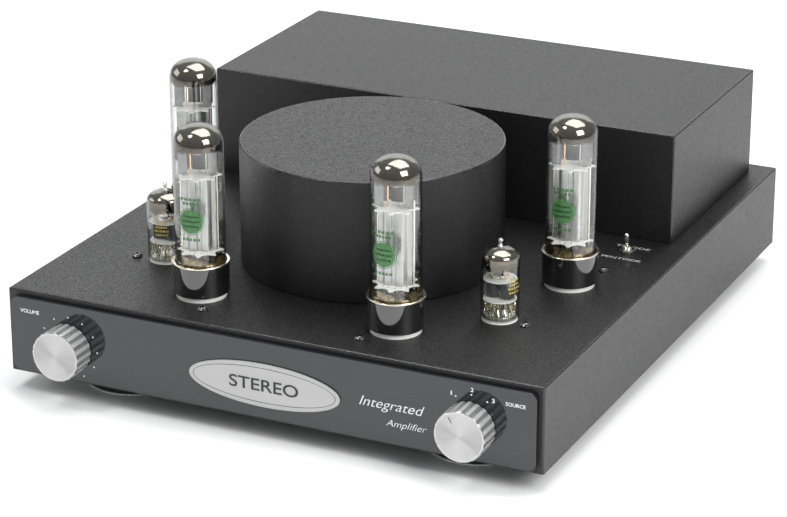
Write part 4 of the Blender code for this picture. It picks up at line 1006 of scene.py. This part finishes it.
def make_small_tubes():
    """The nine-pin sockets and their tubes."""
    low, flange = -0.009, -WALL - GAP
    seat = turned([(0, 0.0005), (0.0104, 0.0005, 0.0003), (0.0104, flange), (0.0144, flange, 0.0003),
                          (0.0144, flange - 0.0012, 0.0003), (0.0098, flange - 0.0012), (0.0098, low, 0.0005),
                          (0, low)], 4, 64)
    pin_places = circle(SMALL_PINS, 10)[:9]
    holes = [rod(0.0008, (x, y, low - 0.01), (x, y, 0.01), 14) for x, y in pin_places]
    holes.append(rod(0.0022, (0, 0, low - 0.01), (0, 0, 0.01), 24))
    tube = lathe([(0.0022, 0.0008), (0.0022, low), (0.0019, low), (0.0019, 0.0008)], 24, ring=True)
    socket = mesh("small_socket", [(cut(seat, gathered(holes)), CERAMIC), (tube, NICKEL)])

    outer = bulb_curve(SMALL_BULB, 0.006, 0.038, 0.0024, 14, 2.0)[:-1]
    tip = [(0, 0.049), (0.0012, 0.0487), (0.0016, 0.0479), (0.0015, 0.047), (0.001, 0.0463), (0.0011, 0.0452),
           (0.0018, 0.0443), (0.003, 0.0435)]
    outer = tip + [point for point in outer if point[0] > 0.0042]
    foot = rounded([(0.0112, 0.004), (0.0112, 0.0012, 0.0022), (0.0085, 0.0012)], 6)[1:]
    inner = [(0.0085, 0.0018)] + rounded([(0.0092, 0.0018), (0.01065, 0.0019, 0.0014), (0.01065, 0.006)],
                                         4)[1:]
    inner += bulb_curve(0.01065, 0.0055, 0.038, 0.003, 12, 2.0)[:-1][::-1]
    pip = lathe([(0, 0.04895), (0.0011, 0.0486), (0.0015, 0.0478), (0.0014, 0.047), (0.0009, 0.0463),
                 (0.001, 0.0452), (0.0016, 0.0443), (0, 0.0443)], 28)
    glass = mesh("small_glass", [(lathe(outer + foot + inner, 80), GLASS), (pip, SEAL_GLASS)], 60)
    getter = mesh("small_getter", [(getter_shell(0.0106, 0.00545, 0.038, 0.03, 2.0), SMALL_GETTER)], 60)

    button = turned([(0, 0.0018), (0.01, 0.0018, 0.0004), (0.01, 0.0042, 0.001), (0, 0.0046)], 4, 56)
    items = [(button, STEM_GLASS)]
    for i, (x, y) in enumerate(circle(0.0088, 13, first=0.2)):
        lean = 0.0012 * math.cos(2.1 * i)
        items.append((wire([(x, y, 0.0046), (x * 0.85 + lean, y * 0.85, 0.0078),
                            (x * 0.95, y * 0.95 + lean, 0.01), (x * 0.9, y * 0.9, 0.0122)], 0.00042, 6),
                      NICKEL if i % 2 else WIRE))
    for i, (x, y) in enumerate(pin_places):
        pin = turned([(0, -0.0055), (0.0005, -0.005), (0.0005, 0.005), (0, 0.005)], 2, 12)
        items.append((moved(pin, (x, y, 0)), NICKEL))
        collar = turned([(0, 0.0068), (0.0011, 0.0062, 0.0006), (0.0013, 0.004, 0.0004), (0, 0.004)], 3, 14)
        items.append((moved(collar, (x, y, 0)), STEM_GLASS))
        lean = 0.001 * math.sin(1.7 * i + 0.5)
        items.append((wire([(x, y, 0.0045), (x * 0.95 + lean, y * 0.95, 0.0085),
                            (x * 0.8, y * 0.8 + lean, 0.0105), (x * 0.72, y * 0.72, 0.0128)], 0.00038, 6),
                      WIRE))
    for z in (0.0125, 0.0247):
        disc = turned([(0, z + 0.0003), (0.0095, z + 0.0003), (0.0098, z), (0.0095, z - 0.0003),
                              (0, z - 0.0003)], 2, 56)
        notches = [rod(0.0011, (x, y, z - 0.01), (x, y, z + 0.01), 12) for x, y in circle(0.01, 6, first=0.3)]
        items.append((cut(disc, gathered(notches)), MICA))
    shield = turned([(0, 0.0272), (0.0042, 0.0272, 0.0006), (0.0046, 0.0253), (0, 0.0253)], 3, 48)
    items.append((shield, NICKEL))
    for x in (-0.0043, 0.0043):
        quarter = [(0.0034, 0.0028, 0.001), (0.0008, 0.0028, 0.0002), (0.0006, 0.0034, 0.0002)]
        outline = rounded(four_ways(quarter), 3, True)
        anode = prism([(px + x, py) for px, py in outline], 0.0132, 0.0241, 0.0001, 1)
        items.append((anode, DARK_ANODE))
        for y in (-0.0017, 0.0017):
            items.append((rod(0.0004, (x, y, 0.0241), (x, y, 0.0276), 10), COPPER))
        items.append((rod(0.0005, (x * 2.0, 0, 0.01), (x * 2.0, 0, 0.0272), 10), NICKEL))
    items.append((wire([(0, 0.003, 0.025), (0, 0.0042, 0.0325), (0, 0.003, 0.0345)], 0.0004), NICKEL))
    halo = [(0.0034 * math.cos(a), 0.0034 * math.sin(a), 0.0345)
            for a in (math.tau * i / 24 for i in range(25))]
    items.append((wire(halo, 0.0006), NICKEL))
    structure = mesh("small_electrodes", items)

    bars = row_bars(((0.0, 4.4), (2.4, 3.6), (-2.4, 3.8), (5.0, 3.0)), 0.6)
    label = mesh("small_print", [(curved_print(bar, SMALL_BULB, 0.00004, 0, 0.0215), GOLD_PRINT)
                                 for bar in bars])

    for side, (x, y) in SMALL_TUBES.items():
        body, spot = f"small_tube_{side}", (x, y, DECK)
        put(f"pin_socket_{side}", socket, "amplifier", spot,
            stands_for=[f"small_socket_{side}"])
        put(f"{body}_bulb", glass, body, spot, None, [f"{body}_glass"])
        put(f"{body}_structure", structure, body, spot, None, [f"{body}_electrodes"])
        put(f"{body}_getter", getter, body, spot)
        put(f"{body}_print", label, body, spot,
            Matrix.Rotation(math.radians(-20 if side == "right" else -75), 4, "Z"))


# ---------------------------------------------------------------- knobs and toggle

def make_knobs():
    """Fluted knobs, their shafts, and the potentiometer and switch behind the panel."""
    length, radius, mill = KNOB_L, KNOB_R, 0.0016
    profile = rounded([(0, 0.011), (0.0033, 0.011), (0.0033, 0), (radius - 0.0004, 0, 0.0002),
                       (radius, 0.0006, 0.0003), (radius, length - 0.0007, 0.0002),
                       (radius - 0.0007, length, 0.0002), (radius - 0.0011, length - 0.0001),
                       (0, length - 0.0001)], 3)
    body = lathe(profile, 200)
    slots = []
    for x, y in circle(radius + mill - 0.00085, FLUTES, first=math.pi / FLUTES):
        slot = lathe([(mill * math.sin(a), mill * math.cos(a))
                      for a in (math.pi / 2 * i / 6 for i in range(7))] + [(mill, -0.015), (0, -0.015)],
                     24)
        slots.append(moved(slot, (x, y, length - 0.0011)))
    body = cut(body, gathered(slots))
    for side, x in (("volume", -KNOB_X), ("source", KNOB_X)):
        shape = body.copy()
        if side == "source":
            a = math.radians(120)
            mark = moved(box((0.0038, 0.00055, 0.001)),
                         Matrix.Translation((0.0108 * math.cos(a), 0.0108 * math.sin(a),
                                             length)) @ Matrix.Rotation(a, 4, "Z"))
            shape = cut(shape, mark)
        data = mesh(f"{side}_knob_shape", [(shape, KNOB_SIDE)], 30)
        data.materials.append(KNOB_FACE)
        data.materials.append(KNOB_SLOT_SHADE)
        # Flat front faces take the spun face; faces inside the slots take the darker slot copy, which is
        # painted shade.
        for polygon in data.polygons:
            reach = max(data.vertices[i].co.xy.length for i in polygon.vertices)
            if polygon.normal.z > 0.9 and polygon.center.z > length - 0.0002 and reach < radius - 0.0009:
                polygon.material_index = 1
            elif 0.0008 < polygon.center.z < length - 0.0003 and polygon.center.xy.length < radius - 0.00025:
                polygon.material_index = 2
        put(f"fluted_{side}_knob", data, f"{side}_control", (x, KNOB_Y, MID), TO_FRONT,
            [f"{side}_knob"])
        axle = turned([(0, 0.0107), (0.003, 0.0107, 0.0004), (0.003, -0.0178), (0, -0.0178)], 3, 32)
        flat = box((0.01, 0.01, 0.012), (0.0074, 0, 0.0066))
        put(f"{side}_axle", mesh("axle", [(cut(axle, flat), ZINC)]), f"{side}_control",
            (x, KNOB_Y, MID), TO_FRONT, [f"{side}_shaft"])
    body.free()

    rear = -0.0061
    for name, x, radius, depth in (("volume_potentiometer", -KNOB_X, 0.012, 0.02),
                                   ("source_switch", KNOB_X, 0.0135, 0.026)):
        can = turned([(0.0042, -0.0008, 0.0002), (0.0042, rear), (radius, rear, 0.0006),
                      (radius, rear - depth, 0.0008), (0, rear - depth), (0, -0.0181), (0.0033, -0.0181),
                      (0.0033, -0.0008)], 3, 56)
        threads = [lathe([(0.0041, z), (0.0044, z - 0.0002), (0.0041, z - 0.0004)], 40, ring=True)
                   for z in (-0.0012 - 0.0006 * i for i in range(3))]
        tags = [box((0.0022, 0.006, 0.0008), (dx, -radius - 0.0025, rear - 0.005), 0.0002)
                for dx in (-0.005, 0, 0.005)]
        put(f"{name}_can", mesh(name, [(can, ZINC)] + [(s, ZINC) for s in threads]
                                + [(s, GOLD) for s in tags]), "amplifier", (x, KNOB_Y, MID),
            TO_FRONT, [name])


def make_toggle():
    """The deck's bat-lever switch and the words beside it."""
    place = (*TOGGLE_XY, DECK)
    under = -WALL - GAP
    body = box((0.008, 0.013, 0.01), (0, 0, under - 0.005), 0.0003)
    tags = [box((0.004, 0.0008, 0.003), (0, y, under - 0.0112), 0.0001) for y in (-0.0045, 0, 0.0045)]
    teeth = [(0.0022, 0.0034), (0.0024, 0.0038), (0.0027, 0.0038)]
    for i in range(9):
        z = 0.0036 - 0.0006 * i
        teeth += [(0.0029, z), (0.0026, z - 0.0003)]
    bush = lathe(teeth + [(0.0029, under - 0.001), (0, under - 0.001), (0, -0.0011), (0.0022, -0.0011)], 40)
    put("toggle_switch_body", mesh("toggle_switch_body", [(body, PLASTIC), (bush, NICKEL)]
                                   + [(s, GOLD) for s in tags]), "amplifier", place, None,
        ["mode_toggle_body"])

    nut = prism(circle(0.005, 6, first=0.3), 0.0006, 0.0021, 0.0003, 3)
    washer = lathe([(0.0032, GAP), (0.0042, GAP), (0.0042, 0.0006), (0.0032, 0.0006)], 48, ring=True)
    nut = cut(nut, rod(0.0031, (0, 0, -0.01), (0, 0, 0.01), 32))
    put("toggle_hex_nut", mesh("toggle_hex_nut", [(nut, NICKEL), (washer, NICKEL)], 25), "amplifier",
        place, None, ["mode_toggle_nut"])

    top, tip = 0.0116, 0.0016
    bat = [(0, top)] + [(tip * math.sin(a), top - tip + tip * math.cos(a))
                        for a in (0.2 * i for i in range(1, 8))]
    bat += rounded([(tip, top - tip), (tip, top - 0.003, 0.004), (0.0009, 0.004, 0.003),
                    (0.0009, 0.0018, 0.0004)], 5)[1:]
    bat += [(0.0016 * math.cos(a), 0.0016 * math.sin(a))
            for a in (0.96 - 0.25 * i for i in range(10))] + [(0, -0.0016)]
    turn = Matrix.Rotation(math.radians(12), 4, "X")
    put("bat_lever", mesh("bat_lever", [(lathe(bat, 40), CHROME)], 50), "mode_toggle",
        (*TOGGLE_XY, DECK + 0.0015), turn, ["mode_toggle_lever"])

    for name, text, width, x, y in (("triode_word", "TRIODE", 0.0219, 0.13745, 0.0205),
                                    ("pentode_word", "PENTODE", 0.0248, 0.1374, 0.0003)):
        put(name, mesh(name, [(lettering(text, width, 0.003), DIM_LETTER)]), "amplifier",
            (x, y, DECK + INK))


# ---------------------------------------------------------------- back

def make_inlet():
    """The mains inlet with its three blades."""
    place = (INLET_X, REAR_Y, MID)
    flange = plate(0.05, 0.025, 0.004, GAP, 0.0023, 0.0006)
    body = box((0.028, 0.021, 0.024), (0, 0, 0.0013 - 0.012), 0.0004)
    shell = cut(flange, body, operation="UNION")
    well = rounded([(-0.0122, -0.0085, 0.001), (0.0122, -0.0085, 0.001), (0.0122, 0.0048, 0.0008),
                    (0.0085, 0.0085, 0.0008), (-0.0085, 0.0085, 0.0008), (-0.0122, 0.0048, 0.0008)], 4, True)
    shell = cut(shell, prism(well, -0.0137, 0.01))
    items = [(shell, SATIN_PLASTIC)]
    for x, y in ((-0.007, -0.002), (0, 0.002), (0.007, -0.002)):
        items.append((box((0.002, 0.004, 0.014), (x, y, -0.0077), 0.0006, 3), NICKEL))
    for x in (-0.02, 0.02):
        items.append((moved(button_screw(0.0026, 0.0012), (x, 0, 0.0023)), BLACK_STEEL))
    put("mains_inlet_housing", mesh("mains_inlet_housing", items), "amplifier", place,
        TO_REAR, ["mains_inlet"])


def make_switch():
    """The power rocker in its frame."""
    place = (SWITCH_X, REAR_Y, MID)
    frame_shape = cut(plate(0.016, 0.023, 0.0012, GAP, 0.0021, 0.0005),
                      box((0.013, 0.0202, 0.014), (0, 0, 0.0012 - 0.007)), operation="UNION")
    frame_shape = cut(frame_shape, box((0.0112, 0.0186, 0.02), (0, 0, -0.0064 + 0.01)))
    put("switch_bezel", mesh("switch_bezel", [(frame_shape, SATIN_PLASTIC)]), "amplifier",
        place, TO_REAR, ["power_switch_frame"])
    half, high = 0.0086, 0.0032
    top = [(half * (1 - i / 8), high - (high - 0.002) * math.sin(math.pi / 2 * i / 8)) for i in range(8)]
    side = top + [(0, 0.002)] + [(-x, y) for x, y in top[::-1]]
    side += [(-half, 0), (-0.007, -0.0022), (-0.0035, -0.0032), (0, -0.0036), (0.0035, -0.0032),
             (0.007, -0.0022), (half, 0)]
    stand = Matrix.Rotation(math.pi / 2, 4, "Z") @ Matrix.Rotation(math.pi / 2, 4, "X")
    items = [(moved(prism(side, -0.0052, 0.0052, 0.0003), stand), SATIN_PLASTIC)]
    items.append((moved(box((0.0005, 0.003, 0.00006), (0, 0, 0)), (0, 0.0055, 0.00285)), LETTER))
    ring = lathe([(0.0012, 0), (0.0017, 0), (0.0017, 0.00006), (0.0012, 0.00006)], 32, ring=True)
    items.append((moved(ring, (0, -0.0055, 0.00285)), LETTER))
    turn = Matrix.Rotation(math.pi, 4, "Z") @ Matrix.Rotation(math.pi / 2 + math.radians(8), 4, "X")
    put("rocker_key", mesh("rocker_key", items), "power_rocker",
        (SWITCH_X, REAR_Y + 0.0009, MID), turn, ["power_rocker"])


def make_terminals():
    """Two plates of three speaker posts, each with a ribbed cap."""
    cap_items = {}
    length, ribs = 0.0133, 30
    for colour, finish in (("red", RED), ("black", PLASTIC)):
        outline = [((0.0062 - 0.0003 * (i % 2)) * math.cos(math.pi * i / ribs),
                    (0.0062 - 0.0003 * (i % 2)) * math.sin(math.pi * i / ribs)) for i in range(2 * ribs)]
        grip = prism(outline, 0.0022, length - 0.0014, 0.0002, 1)
        collar = turned_ring([(0.005, 0, 0.0003), (0.0059, 0.0004, 0.0003), (0.0059, 0.0024), (0.003, 0.0024),
                                (0.003, 0)], 3, 56)
        nose = turned_ring([(0.003, length), (0.0052, length, 0.0006), (0.0058, length - 0.0014),
                            (0.003, length - 0.0016)], 4, 56)
        grip = cut(grip, rod(0.0029, (0, 0, -0.01), (0, 0, 0.03), 32))
        sleeve = lathe([(0.0029, 0.0001), (0.0034, 0.0001), (0.0034, length), (0.0029, length)], 32,
                       ring=True)
        cap_items[colour] = mesh(f"cap_{colour}", [(grip, finish), (collar, finish), (nose, finish),
                                                   (sleeve, GOLD)])
    for side, centre in TERMINALS_X.items():
        items = [(plate(0.06, 0.02, 0.003, GAP, 0.0027, 0.0005), SATIN_PLASTIC)]
        for i, post in enumerate(("common", "four_ohm", "eight_ohm")):
            x = (i - 1) * POST_STEP
            finish = PLASTIC if post == "common" else RED
            collar = turned_ring([(0.0026, 0.0059), (0.0066, 0.0059, 0.0004), (0.0068, 0.0026),
                                  (0.0026, 0.0026)], 3, 56)
            metal = turned([(0, 0.0185), (0.0026, 0.0185, 0.0006), (0.0026, -0.009), (0, -0.009)], 4, 32)
            metal = cut(metal, rod(0.001, (-0.01, 0, 0.0085), (0.01, 0, 0.0085), 16))
            socket = rod(0.0014, (0, 0, 0.012), (0, 0, 0.03), 24)
            items += [(moved(collar, (x, 0, 0)), finish), (moved(cut(metal, socket), (x, 0, 0)), GOLD)]
            put(f"binding_cap_{side}_{post}", cap_items["black" if post == "common" else "red"],
                f"terminal_cap_{side}_{post}",
                (centre - x, REAR_Y + 0.0062, MID), TO_REAR, [f"terminal_cap_{side}_{post}"])
        for x in (-0.0275, 0.0275):
            items.append((moved(button_screw(0.0016, 0.0007), (x, 0, 0.0027)), BLACK_STEEL))
        put(f"binding_posts_{side}", mesh("binding_posts", items), "amplifier",
            (centre, REAR_Y, MID), TO_REAR, [f"speaker_terminals_{side}"])


def make_jacks():
    """Six phono jacks on a plate, and the numbers on the back."""
    items = [(plate(0.064, 0.034, 0.003, GAP, 0.0023, 0.0005), SATIN_PLASTIC),
             (box((0.054, 0.024, 0.01), (0, 0, 0.0013 - 0.005), 0.0005), PLASTIC)]
    for x in (-0.02, 0, 0.02):
        for y, finish in ((-0.008, RED), (0.008, WHITE_PLASTIC)):
            barrel = turned_ring([(0.004, 0.0105, 0.0002), (0.0042, 0.0098, 0.0002), (0.0042, 0.0042),
                                  (0.0054, 0.0042, 0.0002), (0.0054, 0.0022), (0.0033, 0.0022),
                                  (0.0033, 0.0105, 0.0002)], 3, 48)
            nut = cut(prism(circle(0.006, 6, first=0.5), 0.0023, 0.004, 0.0002),
                      rod(0.0041, (0, 0, -1), (0, 0, 1), 32))
            core = turned_ring([(0.0017, 0.003), (0.0017, 0.0098, 0.0002), (0.0033, 0.0098),
                                (0.0033, 0.003)], 2, 40)
            contact = lathe([(0.0014, 0.0094), (0.0017, 0.0094), (0.0017, 0.003), (0.0014, 0.003)], 24,
                            ring=True)
            items += [(moved(shape, (x, y, 0)), look) for shape, look in
                      ((barrel, GOLD), (nut, GOLD), (core, finish), (contact, GOLD))]
    put("phono_jack_plate", mesh("phono_jack_plate", items), "amplifier",
        (JACKS_X, REAR_Y, MID), TO_REAR, ["input_jacks"])
    words = [("1", 0.132, 0.0545, 0.0008), ("2", 0.112, 0.0545, 0.0016), ("3", 0.092, 0.0545, 0.0016),
             ("L", 0.1485, 0.0423, 0.0015), ("R", 0.1485, 0.0263, 0.0017)]
    for centre in TERMINALS_X.values():
        words += [("0", centre + POST_STEP, 0.0475, 0.0016), ("4", centre, 0.0475, 0.0017),
                  ("8", centre - POST_STEP, 0.0475, 0.0016)]
    items = [(moved(lettering(text, width, 0.0024), (-x, z, 0)), LETTER) for text, x, z, width in words]
    put("rear_numbers", mesh("rear_numbers", items), "amplifier", (0, REAR_Y + INK, 0),
        TO_REAR)


# ---------------------------------------------------------------- stage

# Angles in radians, lamps as (name, place, size, power)
CAMERA_DOWN, CAMERA_ROUND = 0.369585, 0.442097
WORLD_LIGHT = 0.4
LAMPS = [("top_softbox", (0.2, 0.6, 2.6), (2.4, 2.0), 62.0),
         ("back_softbox", (-1.2, 2.8, 1.3), (4.0, 2.0), 26.0),
         ("edge_softbox", (-0.8, -0.9, 2.1), (0.5, 0.5), 13.0),
         ("left_softbox", (-1.8, -0.5, 0.85), (1.2, 0.8), 7.0),
         ("right_softbox", (0.95, -0.5, 0.75), (0.6, 0.6), 11.0)]


def make_stage():
    """The floor, the studio light and the camera."""
    floor = box((16, 16, 0.02), (0, 0, -0.01))
    data = mesh("floor", [(floor, varied("pale_floor", (0.9, 0.9, 0.9), 0.6, tone=0.01, scale=3))])
    linked("floor", data)

    world = bpy.data.worlds.new("studio")
    bpy.context.scene.world = world
    world.use_nodes = True
    sky = world.node_tree.nodes["Background"]
    sky.inputs["Color"].default_value = (0.96, 0.98, 1.0, 1.0)
    sky.inputs["Strength"].default_value = WORLD_LIGHT

    for name, place, size, power in LAMPS:
        light = bpy.data.lights.new(name, "AREA")
        light.shape, light.size, light.size_y, light.energy = "RECTANGLE", size[0], size[1], power
        lamp = linked(name, light)
        lamp.location = place
        lamp.rotation_euler = (Vector((0, 0, 0.05)) - Vector(place)).to_track_quat("-Z", "Y").to_euler()

    camera = linked("camera", bpy.data.cameras.new("camera"))
    camera.location = (0.71221, -1.52691, 0.70142)
    camera.rotation_euler = (math.pi / 2 - CAMERA_DOWN, 0, CAMERA_ROUND)
    camera.data.sensor_width, camera.data.lens = 36.0, 133.28
    camera.data.shift_x, camera.data.shift_y = -0.00535, -0.01499
    camera.data.clip_start, camera.data.clip_end = 0.05, 60.0
    bpy.context.scene.camera = camera
    bpy.context.scene.view_settings.view_transform = "Standard"


make_case()
make_screws()
make_feet()
make_panel()
make_badge()
make_covers()
make_transformers()
make_board()
make_power_sockets()
make_power_tubes()
make_small_tubes()
make_knobs()
make_toggle()
make_inlet()
make_switch()
make_terminals()
make_jacks()
make_stage()
